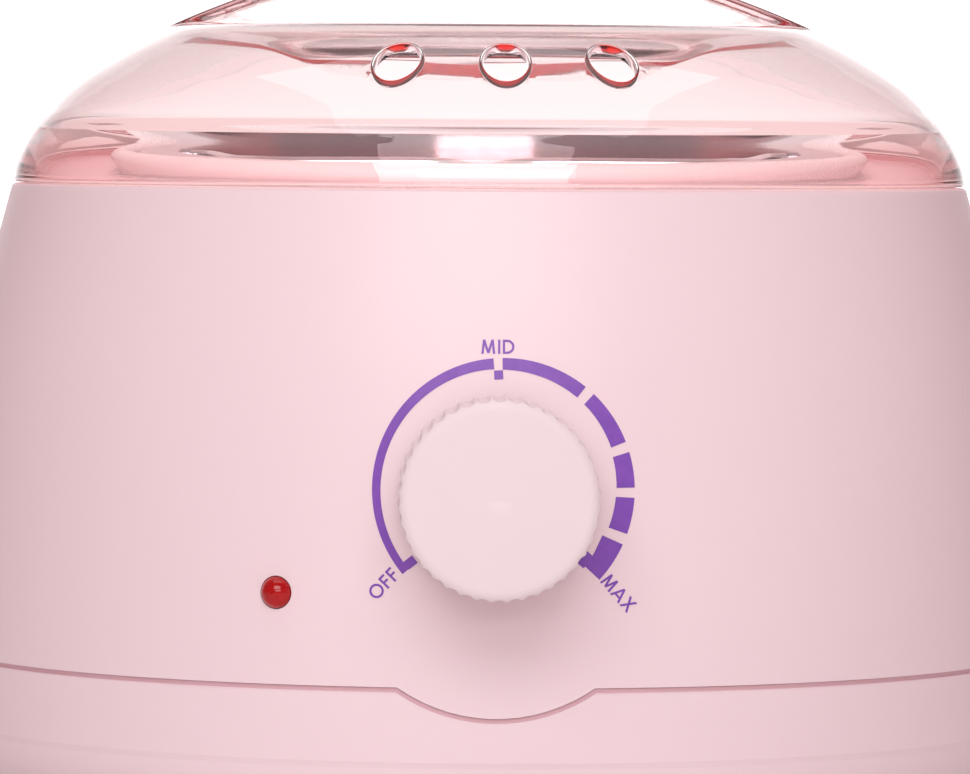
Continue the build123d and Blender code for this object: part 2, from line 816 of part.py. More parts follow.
# ---------------------------------------------------------- terminal block --
with BuildPart() as terminal_block:
    with BuildSketch(Plane.XY.offset(6.6)):
        with Locations((0, 50)):
            RectangleRounded(34, 14, 1.5)
    extrude(amount=11)
    with BuildSketch(Plane.XY.offset(10)):
        with Locations((-6, 50), (6, 50)):
            Circle(2.2)
    extrude(amount=8, mode=Mode.SUBTRACT)
    with BuildSketch(Plane.XZ.offset(-60)):
        with Locations((-6, 9.2), (6, 9.2)):
            Circle(1.5)
    extrude(amount=20, mode=Mode.SUBTRACT)
terminal_block.part.label = "terminal_block"
export_step(terminal_block.part, "parts/terminal_block.step")

with BuildPart() as terminal_screws:
    with BuildSketch(Plane.XY.offset(11.2)):
        with Locations((-6, 50), (6, 50)):
            Circle(2.0)
    extrude(amount=5.4)
    with BuildSketch(Plane.XY.offset(15.8)):
        with Locations((-6, 50), (6, 50)):
            Rectangle(4.2, 0.7)
    extrude(amount=1.0, mode=Mode.SUBTRACT)
terminal_screws.part.label = "terminal_screws"
export_step(terminal_screws.part, "parts/terminal_screws.step")

# -------------------------------------------------------------- cord entry --
with BuildPart() as cord_gland:
    with BuildSketch(Plane.XZ):
        with BuildLine():
            Polyline(
                (R_CORD_BORE, 82.0),
                (5.4, 82.0),
                (6.2, 84.5),
                (6.2, 88.6),
                (7.1, 91.2),
                (6.2, 91.6),
                (6.2, 94.6),
                (8.4, 94.6),
                (8.4, 96.2),
                (7.4, 97.4),
                (4.2, 97.4),
                (R_CORD_BORE, 96.8),
                (R_CORD_BORE, 82.0),
            )
        make_face()
    revolve(axis=Axis.Z)
gland_shape = cord_gland.part.rotate(Axis.X, -90).moved(Location((0, 0, Z_CORD)))
cord_gland.part = gland_shape
cord_gland.part.label = "cord_gland"
export_step(cord_gland.part, "parts/cord_gland.step")

with BuildPart() as cord_clamp:
    with BuildSketch(Plane.XY.offset(38.4)):
        with Locations((0, 73)):
            Rectangle(26, 7)
    extrude(amount=6.0)
    with BuildSketch(Plane.XZ.offset(-60)):
        with Locations((0, Z_CORD)):
            Circle(R_CORD_BORE)
    extrude(amount=-20, mode=Mode.SUBTRACT)
    with BuildSketch(Plane.XY.offset(38)):
        with Locations((-9.5, 73), (9.5, 73)):
            Circle(1.5)
    extrude(amount=8, mode=Mode.SUBTRACT)
cord_clamp.part.label = "cord_clamp"
export_step(cord_clamp.part, "parts/cord_clamp.step")

with BuildPart() as cord_clamp_screws:
    with BuildSketch(Plane.XY.offset(44.4)):
        with Locations((-9.5, 73), (9.5, 73)):
            Circle(2.7)
    extrude(amount=1.9)
    with BuildSketch(Plane.XY.offset(29.5)):
        with Locations((-9.5, 73), (9.5, 73)):
            Circle(1.25)
    extrude(amount=15.2)
cord_clamp_screws.part.label = "cord_clamp_screws"
export_step(cord_clamp_screws.part, "parts/cord_clamp_screws.step")

# ---------------------------------------------------------- internal leads --
LEAD = 1.1
with BuildPart() as lead_thermostat:
    with BuildLine() as lead_line:
        FilletPolyline(
            (14, 42.8, 9.2),
            (14, 24, 9.2),
            (20, -10, 9.6),
            (19, -44, 9.2),
            (16, -71, 12),
            (15.5, -78, 32),
            (14.5, -80, Z_DIAL - 1.9),
            radius=9,
        )
    with BuildSketch(Plane(origin=(14, 42.8, 9.2), z_dir=(0, -1, 0))):
        Circle(LEAD)
    sweep()
lead_thermostat.part.label = "lead_thermostat"
export_step(lead_thermostat.part, "parts/lead_thermostat.step")

with BuildPart() as lead_heater:
    with BuildLine():
        FilletPolyline(
            (-15.5, -80, 57.6),
            (-15.8, -78, 70),
            (-34, -66, 78),
            (-58, -38, 79),
            (-68, -8, 74),
            (-70, 8, 66),
            radius=8,
        )
    with BuildSketch(
        Plane(origin=(-15.5, -80, 57.6), z_dir=(-0.3, 2, 12.4))
    ):
        Circle(LEAD)
    sweep()
lead_heater.part.label = "lead_heater"
export_step(lead_heater.part, "parts/lead_heater.step")

with BuildPart() as lead_indicator:
    with BuildLine():
        FilletPolyline(
            (-14, 42.8, 9.2),
            (-14, 22, 9.2),
            (-21, -12, 9.6),
            (-25, -46, 9.4),
            (-28.5, -66, 14),
            (-29.5, -70, 35),
            radius=9,
        )
    with BuildSketch(Plane(origin=(-14, 42.8, 9.2), z_dir=(0, -1, 0))):
        Circle(LEAD)
    sweep()
lead_indicator.part.label = "lead_indicator"
export_step(lead_indicator.part, "parts/lead_indicator.step")

# ----------------------------------------------------------------- wax pot --
with BuildPart() as wax_pot:
    with BuildSketch(Plane.XZ):
        with BuildLine():
            Polyline((0, POT_FLOOR - POT_WALL), (44.2, POT_FLOOR - POT_WALL))
            TangentArc(
                (44.2, POT_FLOOR - POT_WALL), (50.9, 58.2), tangent=(1, 0)
            )
            Polyline((50.9, 58.2), (55.2, 106.1), (55.5, 107.0), (59.8, 107.0))
            ThreePointArc((59.8, 107.0), (60.093, 106.293), (60.8, 106.0))
            ThreePointArc((60.8, 106.0), (POT_RIM_R, 107.0), (60.8, POT_RIM_Z))
            Polyline((60.8, POT_RIM_Z), (55.5, POT_RIM_Z))
            ThreePointArc((55.5, POT_RIM_Z), (54.722, 107.678), (54.4, 106.9))
            Polyline((54.4, 106.9), (50.08, 58.6))
            ThreePointArc((50.08, 58.6), (48.2, 54.0), (43.9, POT_FLOOR))
            Polyline((43.9, POT_FLOOR), (0, POT_FLOOR), (0, POT_FLOOR - POT_WALL))
        make_face()
    revolve(axis=Axis.Z)
    # rivet holes of the ears
    for side in (1, -1):
        with BuildSketch(Plane.YZ.offset(side * 52.0)):
            with Locations((EAR_RIVET_Y, EAR_RIVET_Z), (-EAR_RIVET_Y, EAR_RIVET_Z)):
                Circle(0.9)
        extrude(amount=side * 4, mode=Mode.SUBTRACT)
wax_pot.part.label = "wax_pot"
export_step(wax_pot.part, "parts/wax_pot.step")

with BuildPart() as pot_ears:
    # pads riveted to the inside of the pot's wall, each with an eye for the bail
    with BuildSketch(Plane.XZ):
        with BuildLine():
            Polyline((0, 58.6), (50.08, 58.6), (54.4, 106.9), (54.55, 108.6), (0, 108.6), (0, 58.6))
        make_face()
    revolve(axis=Axis.Z)
    with BuildSketch(Plane.YZ.offset(-60)) as pad_face:
        with BuildLine():
            Polyline(
                (-3.6, 98.5),
                (3.6, 98.5),
                (3.6, 103.2),
                (1.5, Z_BAIL),
                (-1.5, Z_BAIL),
                (-3.6, 103.2),
                (-3.6, 98.5),
            )
        make_face()
        with Locations((0, Z_BAIL)):
            Circle(1.5)
    extrude(amount=120, mode=Mode.INTERSECT)
    Box(2 * EAR_X, 20, 300, mode=Mode.SUBTRACT)
    with BuildSketch(Plane.YZ.offset(-60)):
        with Locations((0, Z_BAIL)):
            Circle(BAIL_WIRE - 0.1)
        with Locations((EAR_RIVET_Y, EAR_RIVET_Z), (-EAR_RIVET_Y, EAR_RIVET_Z)):
            Circle(0.9)
    extrude(amount=120, mode=Mode.SUBTRACT)
pot_ears.part.label = "pot_ears"
export_step(pot_ears.part, "parts/pot_ears.step")

with BuildPart() as ear_rivets:
    for side in (1, -1):
        for x, r, length in ((EAR_X - 0.5, 1.3, 0.5), (EAR_X - 0.2, 0.85, 2.4), (54.85, 1.3, 0.5)):
            with BuildSketch(Plane.YZ.offset(side * x)):
                with Locations((EAR_RIVET_Y, EAR_RIVET_Z), (-EAR_RIVET_Y, EAR_RIVET_Z)):
                    Circle(r)
            extrude(amount=side * length)
ear_rivets.part.label = "ear_rivets"
export_step(ear_rivets.part, "parts/ear_rivets.step")

# -------------------------------------------------------------------- bail --
with BuildPart() as pot_handle:
    with BuildLine(Plane.XY.offset(Z_BAIL)):
        FilletPolyline(
            (-52.4, 0),
            (-48.8, 0),
            (-43.8, -24.5),
            (-37.0, -35.5),
            (-6.5, -35.5),
            (0, -40.5),
            (6.5, -35.5),
            (37.0, -35.5),
            (43.8, -24.5),
            (48.8, 0),
            (52.4, 0),
            radius=3.0,
        )
    with BuildSketch(Plane.YZ.offset(-52.4)):
        with Locations((0, Z_BAIL)):
            Circle(BAIL_WIRE)
    sweep()
    # pivot ends, turned down to sit in the ears
    for side in (1, -1):
        with BuildSketch(Plane.YZ.offset(side * 52.3)):
            with Locations((0, Z_BAIL)):
                Circle(1.04)
        extrude(amount=side * 1.9)
pot_handle.part.label = "pot_handle"
export_step(pot_handle.part, "parts/pot_handle.step")

# --------------------------------------------------------------------- lid --
SCOOP_FLOOR = Z_RIM + 24.0
RIDGE_FOOT = 10.2         # half width of the grip ridge at the scoop floor
RIDGE_TOP = 7.9


def scoop_profile(drop, out):
    """Section of a finger scoop: flat floor, sloping wall, shallow lip up to the dome."""
    if drop:
        return [
            (0, SCOOP_FLOOR - 2.0),
            (34.64, SCOOP_FLOOR - 2.0),
            (39.8, Z_RIM + 24.5),
            (58.5, Z_RIM + 26.25),
            (58.5, Z_RIM + 50),
            (0, Z_RIM + 50),
            (0, SCOOP_FLOOR - 2.0),
        ]
    return [
        (0, SCOOP_FLOOR),
        (34.0, SCOOP_FLOOR),
        (39.0, Z_RIM + 26.4),
        (56.0, Z_RIM + 27.95),
        (56.0, Z_RIM + 50),
        (0, Z_RIM + 50),
        (0, SCOOP_FLOOR),
    ]


with BuildPart() as scoop_front:
    with BuildSketch(Plane.XZ):
        with BuildLine():
            Polyline(*scoop_profile(False, 0))
        make_face()
    revolve(axis=Axis.Z)
    with BuildSketch(Plane.YZ.offset(-70)):
        with BuildLine():
            Polyline(
                (-RIDGE_FOOT, SCOOP_FLOOR - 1),
                (-RIDGE_TOP, Z_RIM + 51),
                (-70, Z_RIM + 51),
                (-70, SCOOP_FLOOR - 1),
                (-RIDGE_FOOT, SCOOP_FLOOR - 1),
            )
        make_face()
    extrude(amount=140, mode=Mode.INTERSECT)

with BuildPart() as scoop_front_outer:
    with BuildSketch(Plane.XZ):
        with BuildLine():
            Polyline(*scoop_profile(True, 0))
        make_face()
    revolve(axis=Axis.Z)
    with BuildSketch(Plane.YZ.offset(-70)):
        with BuildLine():
            Polyline(
                (-RIDGE_FOOT + LID_WALL, SCOOP_FLOOR - 3),
                (-RIDGE_TOP + LID_WALL, Z_RIM + 51),
                (-70, Z_RIM + 51),
                (-70, SCOOP_FLOOR - 3),
                (-RIDGE_FOOT + LID_WALL, SCOOP_FLOOR - 3),
            )
        make_face()
    extrude(amount=140, mode=Mode.INTERSECT)

with BuildPart() as lid_core:
    with BuildSketch(Plane.XZ):
        with BuildLine():
            Spline(*DOME_IN_LOW)
            Spline(*DOME_IN[:-1])
            ThreePointArc(
                DOME_IN[-2], cap_middle(*DOME_IN[-2], DOME_IN[-1][1]), DOME_IN[-1]
            )
            Polyline(
                DOME_IN[-1],
                (0, Z_RIM - 3),
                (80.4, Z_RIM - 3),
                (80.4, Z_RIM + 0.1),
                DOME_IN_LOW[0],
            )
        make_face()
    revolve(axis=Axis.Z)
    add(scoop_front_outer.part, mode=Mode.SUBTRACT)
    add(scoop_front_outer.part.mirror(Plane.XZ), mode=Mode.SUBTRACT)

with BuildPart() as lid:
    with BuildSketch(Plane.XZ):
        with BuildLine():
            Spline(*DOME[:-1])
            ThreePointArc(DOME[-2], cap_middle(*DOME[-2], DOME[-1][1]), DOME[-1])
            Polyline(
                DOME[-1],
                (0, Z_RIM - 1.6),
                (81.7, Z_RIM - 1.6),
                (81.7, Z_RIM + LID_GAP),
                DOME[0],
            )
        make_face()
    revolve(axis=Axis.Z)
    add(scoop_front.part, mode=Mode.SUBTRACT)
    add(scoop_front.part.mirror(Plane.XZ), mode=Mode.SUBTRACT)
    add(lid_core.part, mode=Mode.SUBTRACT)
    # three steam vents, square to the dome
    lean = math.radians(VENT_LEAN)
    for k in (-1, 0, 1):
        turn = math.radians(VENT_STEP * k + VENT_TURN)
        away = (math.sin(turn), -math.cos(turn))
        out_r = VENT_R + 6 * math.sin(lean)
        with BuildSketch(
            Plane(
                origin=(
                    out_r * away[0],
                    out_r * away[1],
                    VENT_Z + 6 * math.cos(lean),
                ),
                x_dir=(math.cos(turn), math.sin(turn), 0),
                z_dir=(
                    -math.sin(lean) * away[0],
                    -math.sin(lean) * away[1],
                    -math.cos(lean),
                ),
            )
        ):
            Ellipse(3.85, 5.4)
        extrude(amount=14, mode=Mode.SUBTRACT)
lid.part.label = "lid"
export_step(lid.part, "parts/lid.step")
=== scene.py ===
import bpy
import math
import numpy as np
from mathutils import Vector, Matrix
from mathutils.geometry import delaunay_2d_cdt


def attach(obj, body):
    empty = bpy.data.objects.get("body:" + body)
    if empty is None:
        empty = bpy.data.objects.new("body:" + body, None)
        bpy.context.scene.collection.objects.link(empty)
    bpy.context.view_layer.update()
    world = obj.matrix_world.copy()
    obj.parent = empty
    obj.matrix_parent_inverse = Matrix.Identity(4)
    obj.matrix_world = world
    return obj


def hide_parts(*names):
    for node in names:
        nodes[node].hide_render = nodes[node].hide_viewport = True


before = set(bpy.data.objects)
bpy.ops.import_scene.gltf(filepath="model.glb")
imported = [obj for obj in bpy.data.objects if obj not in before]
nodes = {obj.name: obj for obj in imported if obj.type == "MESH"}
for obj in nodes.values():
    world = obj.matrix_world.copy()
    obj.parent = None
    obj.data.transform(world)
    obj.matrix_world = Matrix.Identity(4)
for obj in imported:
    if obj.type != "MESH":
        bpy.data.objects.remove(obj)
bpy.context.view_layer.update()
MM = 0.001
scene = bpy.context.scene


# --------------------------------------------------------------------------
# helpers: curves
# --------------------------------------------------------------------------
class Cubic:
    """Natural cubic spline through points in the plane, by chord length."""

    def __init__(self, points):
        p = np.array(points, float)
        self.t = np.concatenate(([0], np.cumsum(np.hypot(*np.diff(p, axis=0).T))))
        self.p = p
        n = len(p)
        h = np.diff(self.t)
        a = np.zeros((n, n))
        b = np.zeros((n, p.shape[1]))
        a[0, 0] = a[-1, -1] = 1
        for i in range(1, n - 1):
            a[i, i - 1], a[i, i], a[i, i + 1] = h[i - 1], 2 * (h[i - 1] + h[i]), h[i]
            b[i] = 6 * ((p[i + 1] - p[i]) / h[i] - (p[i] - p[i - 1]) / h[i - 1])
        self.m = np.linalg.solve(a, b)

    def at(self, t):
        t = np.asarray(t, float)
        i = np.clip(np.searchsorted(self.t, t, side="right") - 1, 0, len(self.t) - 2)
        h = (self.t[i + 1] - self.t[i])[..., None]
        u = (t - self.t[i])[..., None]
        v = h - u
        return (
            self.m[i] * v**3 / (6 * h)
            + self.m[i + 1] * u**3 / (6 * h)
            + (self.p[i] / h - self.m[i] * h / 6) * v
            + (self.p[i + 1] / h - self.m[i + 1] * h / 6) * u
        )

    def param(self, axis, value, lo, hi):
        """The parameter where a coordinate has a value, between lo and hi, where it only rises or only falls."""
        value = np.asarray(value, float)
        a, b = np.full(value.shape, float(lo)), np.full(value.shape, float(hi))
        rising = self.at(hi)[..., axis] > self.at(lo)[..., axis]
        for _ in range(44):
            m = (a + b) / 2
            below = self.at(m)[..., axis] < value
            if not rising:
                below = ~below
            a, b = np.where(below, m, a), np.where(below, b, m)
        return (a + b) / 2


def smin(a, b, k):
    h = np.maximum(k - np.abs(a - b), 0) / k
    return np.minimum(a, b) - h * h * k / 4


def smax(a, b, k):
    return -smin(-a, -b, k)


# --------------------------------------------------------------------------
# helpers: meshes
# --------------------------------------------------------------------------
def add_mesh(name, verts, faces, sharp=35.0, smooth=True):
    """verts in millimetres."""
    me = bpy.data.meshes.new(name)
    me.from_pydata((np.array(verts, float) * MM).tolist(), [], faces)
    me.validate(clean_customdata=False)
    me.update()
    ob = bpy.data.objects.new(name, me)
    scene.collection.objects.link(ob)
    if smooth:
        me.polygons.foreach_set("use_smooth", [True] * len(me.polygons))
        me.set_sharp_from_angle(angle=math.radians(sharp))
    me.update()
    return ob


def revolve_rings(profile, n, turn=0.0):
    """Rings of vertices round the Z axis, one for each (r, z)."""
    a = turn + np.arange(n) * 2 * math.pi / n
    out = []
    for r, z in profile:
        out.append(np.stack([r * np.cos(a), r * np.sin(a), np.full(n, float(z))], 1))
    return out


def strip(a, b, n, flip=False):
    """Quads between two rings of n vertices that start at index a and b."""
    out = []
    for j in range(n):
        k = (j + 1) % n
        q = (a + j, a + k, b + k, b + j)
        out.append(q[::-1] if flip else q)
    return out


def lathe(name, profile, n=256, closed=True, sharp=35.0):
    """A solid of revolution from a closed profile that runs counter-clockwise in (r, z)."""
    rings = revolve_rings(profile, n)
    verts = np.concatenate(rings)
    faces = []
    m = len(profile)
    for i in range(m if closed else m - 1):
        faces += strip(i * n, ((i + 1) % m) * n, n)
    return add_mesh(name, verts, faces, sharp)


# --------------------------------------------------------------------------
# helpers: materials
# --------------------------------------------------------------------------
def srgb(r, g, b):
    """Linear colour of an 8-bit sRGB colour."""
    out = []
    for c in (r, g, b):
        c /= 255
        out.append(c / 12.92 if c <= 0.04045 else ((c + 0.055) / 1.055) ** 2.4)
    return (*out, 1.0)


class Mat:
    def __init__(self, name, **sockets):
        self.m = bpy.data.materials.new(name)
        self.m.use_nodes = True
        self.t = self.m.node_tree
        self.t.nodes.clear()
        self.out = self.t.nodes.new("ShaderNodeOutputMaterial")
        self.p = self.t.nodes.new("ShaderNodeBsdfPrincipled")
        self.t.links.new(self.p.outputs["BSDF"], self.out.inputs["Surface"])
        for k, v in sockets.items():
            self.p.inputs[k.replace("_", " ")].default_value = v
        self._coord = None

    def node(self, kind, **props):
        n = self.t.nodes.new(kind)
        for k, v in props.items():
            setattr(n, k, v)
        return n

    def link(self, a, b):
        self.t.links.new(a, b)

    def coord(self):
        if self._coord is None:
            self._coord = self.node("ShaderNodeTexCoord").outputs["Object"]
        return self._coord

    def mapped(self, scale=(1, 1, 1), rot=(0, 0, 0), loc=(0, 0, 0)):
        n = self.node("ShaderNodeMapping")
        self.link(self.coord(), n.inputs["Vector"])
        n.inputs["Scale"].default_value = scale
        n.inputs["Rotation"].default_value = rot
        n.inputs["Location"].default_value = loc
        return n.outputs["Vector"]

    def noise(self, scale, detail=3.0, rough=0.55, vector=None, distort=0.0):
        n = self.node("ShaderNodeTexNoise")
        self.link(vector or self.coord(), n.inputs["Vector"])
        n.inputs["Scale"].default_value = scale
        n.inputs["Detail"].default_value = detail
        n.inputs["Roughness"].default_value = rough
        n.inputs["Distortion"].default_value = distort
        return n.outputs["Fac"]

    def ramp(self, fac, lo, hi, low=0.3, high=0.7):
        """fac from low..high to a value from lo..hi."""
        n = self.node("ShaderNodeMapRange")
        self.link(fac, n.inputs["Value"])
        n.inputs["From Min"].default_value = low
        n.inputs["From Max"].default_value = high
        n.inputs["To Min"].default_value = lo
        n.inputs["To Max"].default_value = hi
        return n.outputs["Result"]

    def mix(self, fac, a, b):
        n = self.node("ShaderNodeMix", data_type="RGBA")
        if isinstance(fac, float):
            n.inputs["Factor"].default_value = fac
        else:
            self.link(fac, n.inputs["Factor"])
        for v, i in ((a, 6), (b, 7)):
            if isinstance(v, tuple):
                n.inputs[i].default_value = v
            else:
                self.link(v, n.inputs[i])
        return n.outputs[2]

    def math(self, op, a, b=None, c=None):
        n = self.node("ShaderNodeMath", operation=op)
        for v, i in ((a, 0), (b, 1), (c, 2)):
            if v is None:
                continue
            if isinstance(v, (int, float)):
                n.inputs[i].default_value = v
            else:
                self.link(v, n.inputs[i])
        return n.outputs[0]

    def bump(self, height, strength, distance, normal=None):
        n = self.node("ShaderNodeBump")
        n.inputs["Strength"].default_value = strength
        n.inputs["Distance"].default_value = distance
        self.link(height, n.inputs["Height"])
        if normal is not None:
            self.link(normal, n.inputs["Normal"])
        return n.outputs["Normal"]

    def to(self, value, socket):
        self.link(value, self.p.inputs[socket])


def plastic(name, colour, dark, rough=(0.3, 0.38), grain=2600.0, grain_depth=0.000012, flow=9.0, groove_shade=None, **sockets):
    """Moulded plastic: faint flow marks in colour and gloss, and a very fine grain.
    The groove argument is (tone, radius, low, high): painted shade, that tone laid in the seam's hollow round the Z
    axis, inside that radius and between those heights."""
    k = Mat(name, **sockets)
    flow_n = k.noise(flow, 4.0, 0.6, distort=0.6)
    tone = k.mix(k.ramp(flow_n, 0.0, 1.0), colour, dark)
    if groove_shade:
        shade_tone, radius, low, high = groove_shade
        sep = k.node("ShaderNodeSeparateXYZ")
        k.link(k.coord(), sep.inputs[0])
        r = k.math("SQRT", k.math("ADD", k.math("POWER", sep.outputs[0], 2.0), k.math("POWER", sep.outputs[1], 2.0)))
        inside = k.ramp(r, 1.0, 0.0, radius - 0.0001, radius + 0.0001)
        above = k.ramp(sep.outputs[2], 0.0, 1.0, low, low + 0.0002)
        below = k.ramp(sep.outputs[2], 1.0, 0.0, high - 0.0002, high)
        # painted shade: the seam's hollow gets a darker, redder tone
        tone = k.mix(k.math("MULTIPLY", inside, k.math("MULTIPLY", above, below)), tone, shade_tone)
    k.to(tone, "Base Color")
    fine = k.noise(grain, 2.0, 0.5)
    blend = k.math("MULTIPLY_ADD", flow_n, 0.65, k.math("MULTIPLY", fine, 0.35))
    k.to(k.ramp(blend, rough[0], rough[1]), "Roughness")
    wave = k.noise(55.0, 2.0, 0.4)
    k.to(k.bump(fine, 0.10, grain_depth, k.bump(wave, 0.05, 0.00018)), "Normal")
    return k.m


def metal(name, colour, dark, rough=(0.25, 0.4), scale=(1, 1, 1), streak=900.0, strength=0.12, depth=0.00002, **sockets):
    """Rolled or spun metal: fine streaks in gloss and height, with a little cloudiness."""
    k = Mat(name, Metallic=1.0, **sockets)
    lines = k.noise(streak, 3.0, 0.6, k.mapped(scale))
    cloud = k.noise(35.0, 4.0, 0.6)
    k.to(k.mix(k.ramp(cloud, 0.0, 1.0), colour, dark), "Base Color")
    both = k.math("MULTIPLY_ADD", lines, 0.6, k.math("MULTIPLY", cloud, 0.4))
    k.to(k.ramp(both, rough[0], rough[1]), "Roughness")
    k.to(k.bump(lines, strength, depth), "Normal")
    return k.m


def spun(name, colour, dark, rough=(0.22, 0.36), pitch=1400.0, strength=0.25, depth=0.00002, **sockets):
    """Spun aluminium: rings round the Z axis."""
    k = Mat(name, Metallic=1.0, **sockets)
    sep = k.node("ShaderNodeSeparateXYZ")
    k.link(k.coord(), sep.inputs[0])
    r = k.math("SQRT", k.math("ADD", k.math("POWER", sep.outputs[0], 2.0), k.math("POWER", sep.outputs[1], 2.0)))
    comb = k.node("ShaderNodeCombineXYZ")
    k.link(r, comb.inputs[0])
    k.link(sep.outputs[2], comb.inputs[2])
    rings = k.noise(pitch, 2.5, 0.65, comb.outputs[0])
    cloud = k.noise(40.0, 4.0, 0.6)
    k.to(k.mix(k.ramp(cloud, 0.0, 1.0), colour, dark), "Base Color")
    both = k.math("MULTIPLY_ADD", rings, 0.6, k.math("MULTIPLY", cloud, 0.4))
    k.to(k.ramp(both, rough[0], rough[1]), "Roughness")
    k.to(k.bump(rings, strength, depth), "Normal")
    return k.m


PINK = srgb(237, 217, 221)
PINK_DARK = srgb(235, 214, 219)

M = {}
M["pink_plastic"] = plastic(
    "pink_plastic_fine", PINK, PINK_DARK, rough=(0.36, 0.44), IOR=1.5,
    # painted shade in the seam's hollow between housing and tray
    groove_shade=(srgb(221, 184, 191), 0.09395, 0.0178, 0.0247),
)
M["knob_plastic"] = plastic(
    "knob_plastic_fine", srgb(231, 217, 220), srgb(229, 214, 217), rough=(0.52, 0.6), IOR=1.46,
)
M["white_plastic"] = plastic(
    "white_plastic_fine", srgb(240, 236, 236), srgb(234, 229, 230), rough=(0.22, 0.32), IOR=1.5,
)
M["foot_rubber"] = plastic(
    "foot_rubber_fine", srgb(196, 182, 184), srgb(186, 172, 175), rough=(0.6, 0.75), grain=1200.0, grain_depth=0.00004,
)
M["zinc_steel"] = metal("zinc_steel_fine", srgb(205, 207, 210), srgb(180, 184, 190), rough=(0.25, 0.42), streak=500.0)
M["well_aluminium"] = spun("well_aluminium_fine", srgb(212, 212, 214), srgb(196, 196, 199), rough=(0.3, 0.45))
M["mica_band"] = plastic("mica_band_fine", srgb(176, 160, 128), srgb(150, 132, 98), rough=(0.35, 0.6), grain=600.0, flow=60.0)
M["spring_steel"] = metal("spring_steel_fine", srgb(150, 152, 158), srgb(110, 112, 120), rough=(0.2, 0.4))
M["glass_fibre"] = plastic("glass_fibre_fine", srgb(236, 230, 214), srgb(214, 204, 180), rough=(0.85, 0.95), grain=1500.0, grain_depth=0.0002, flow=80.0)
M["shield_aluminium"] = metal("shield_aluminium_fine", srgb(215, 216, 218), srgb(195, 197, 200), rough=(0.28, 0.42), scale=(0.05, 1, 1))
M["ceramic"] = plastic("ceramic_fine", srgb(238, 232, 220), srgb(228, 220, 206), rough=(0.3, 0.5), flow=40.0)
M["brass_parts"] = metal("brass_parts_fine", srgb(214, 178, 98), srgb(186, 148, 74), rough=(0.22, 0.4))
M["fuse_case"] = metal("fuse_case_fine", srgb(196, 198, 202), srgb(170, 172, 178), rough=(0.3, 0.45))
M["holder_plastic"] = plastic("holder_plastic_fine", srgb(226, 224, 220), srgb(216, 214, 208), rough=(0.45, 0.55))
M["board"] = plastic("board_fine", srgb(196, 170, 110), srgb(176, 148, 88), rough=(0.4, 0.55), flow=120.0)
M["gland_plastic"] = plastic("gland_plastic_fine", srgb(226, 200, 204), srgb(220, 192, 197), rough=(0.4, 0.5))
M["lead_sleeve"] = plastic("lead_sleeve_fine", srgb(232, 226, 214), srgb(222, 214, 198), rough=(0.55, 0.7), flow=90.0)
M["pot_aluminium"] = spun("pot_aluminium_fine", srgb(214, 213, 214), srgb(200, 198, 200), rough=(0.2, 0.32), pitch=1700.0)
M["ear_steel"] = metal("ear_steel_fine", srgb(198, 198, 202), srgb(176, 177, 182), rough=(0.25, 0.4))
M["bail_wire"] = metal("bail_wire_fine", srgb(222, 222, 224), srgb(204, 205, 208), rough=(0.14, 0.24), streak=700.0)


def lens_red():
    k = Mat("lens_red_fine", IOR=1.42, Roughness=0.06)
    k.p.inputs["Transmission Weight"].default_value = 0.35
    k.p.inputs["Coat Weight"].default_value = 0.15
    k.p.inputs["Coat Roughness"].default_value = 0.03
    k.p.inputs["Coat IOR"].default_value = 1.5
    n = k.noise(260.0, 3.0, 0.6)
    k.to(k.mix(k.ramp(n, 0.0, 1.0), srgb(214, 3, 9), srgb(190, 1, 6)), "Base Color")
    k.to(k.bump(k.noise(900.0, 2.0, 0.5), 0.06, 0.00002), "Normal")
    return k.m


def lamp_glass():
    k = Mat("lamp_glass_fine", IOR=1.5, Roughness=0.08)
    k.p.inputs["Transmission Weight"].default_value = 0.7
    n = k.noise(300.0, 3.0, 0.6)
    k.to(k.mix(k.ramp(n, 0.0, 1.0), srgb(255, 214, 190), srgb(240, 180, 150)), "Base Color")
    return k.m


M["lens_red"] = lens_red()
M["lamp_glass"] = lamp_glass()


def ink():
    """Pad-printed ink: a thin film, a little patchy in tone and gloss."""
    k = Mat("scale_ink", IOR=1.5)
    n = k.noise(420.0, 5.0, 0.65)
    fine = k.noise(2600.0, 2.0, 0.5)
    k.to(k.mix(k.ramp(n, 0.0, 1.0), srgb(130, 74, 182), srgb(118, 66, 172)), "Base Color")
    k.to(k.ramp(fine, 0.34, 0.46), "Roughness")
    k.to(k.bump(fine, 0.12, 0.00001), "Normal")
    return k.m


M["ink"] = ink()

LID_SIGMA = (6.0, 30.0, 29.0)      # absorption per metre, red, green, blue


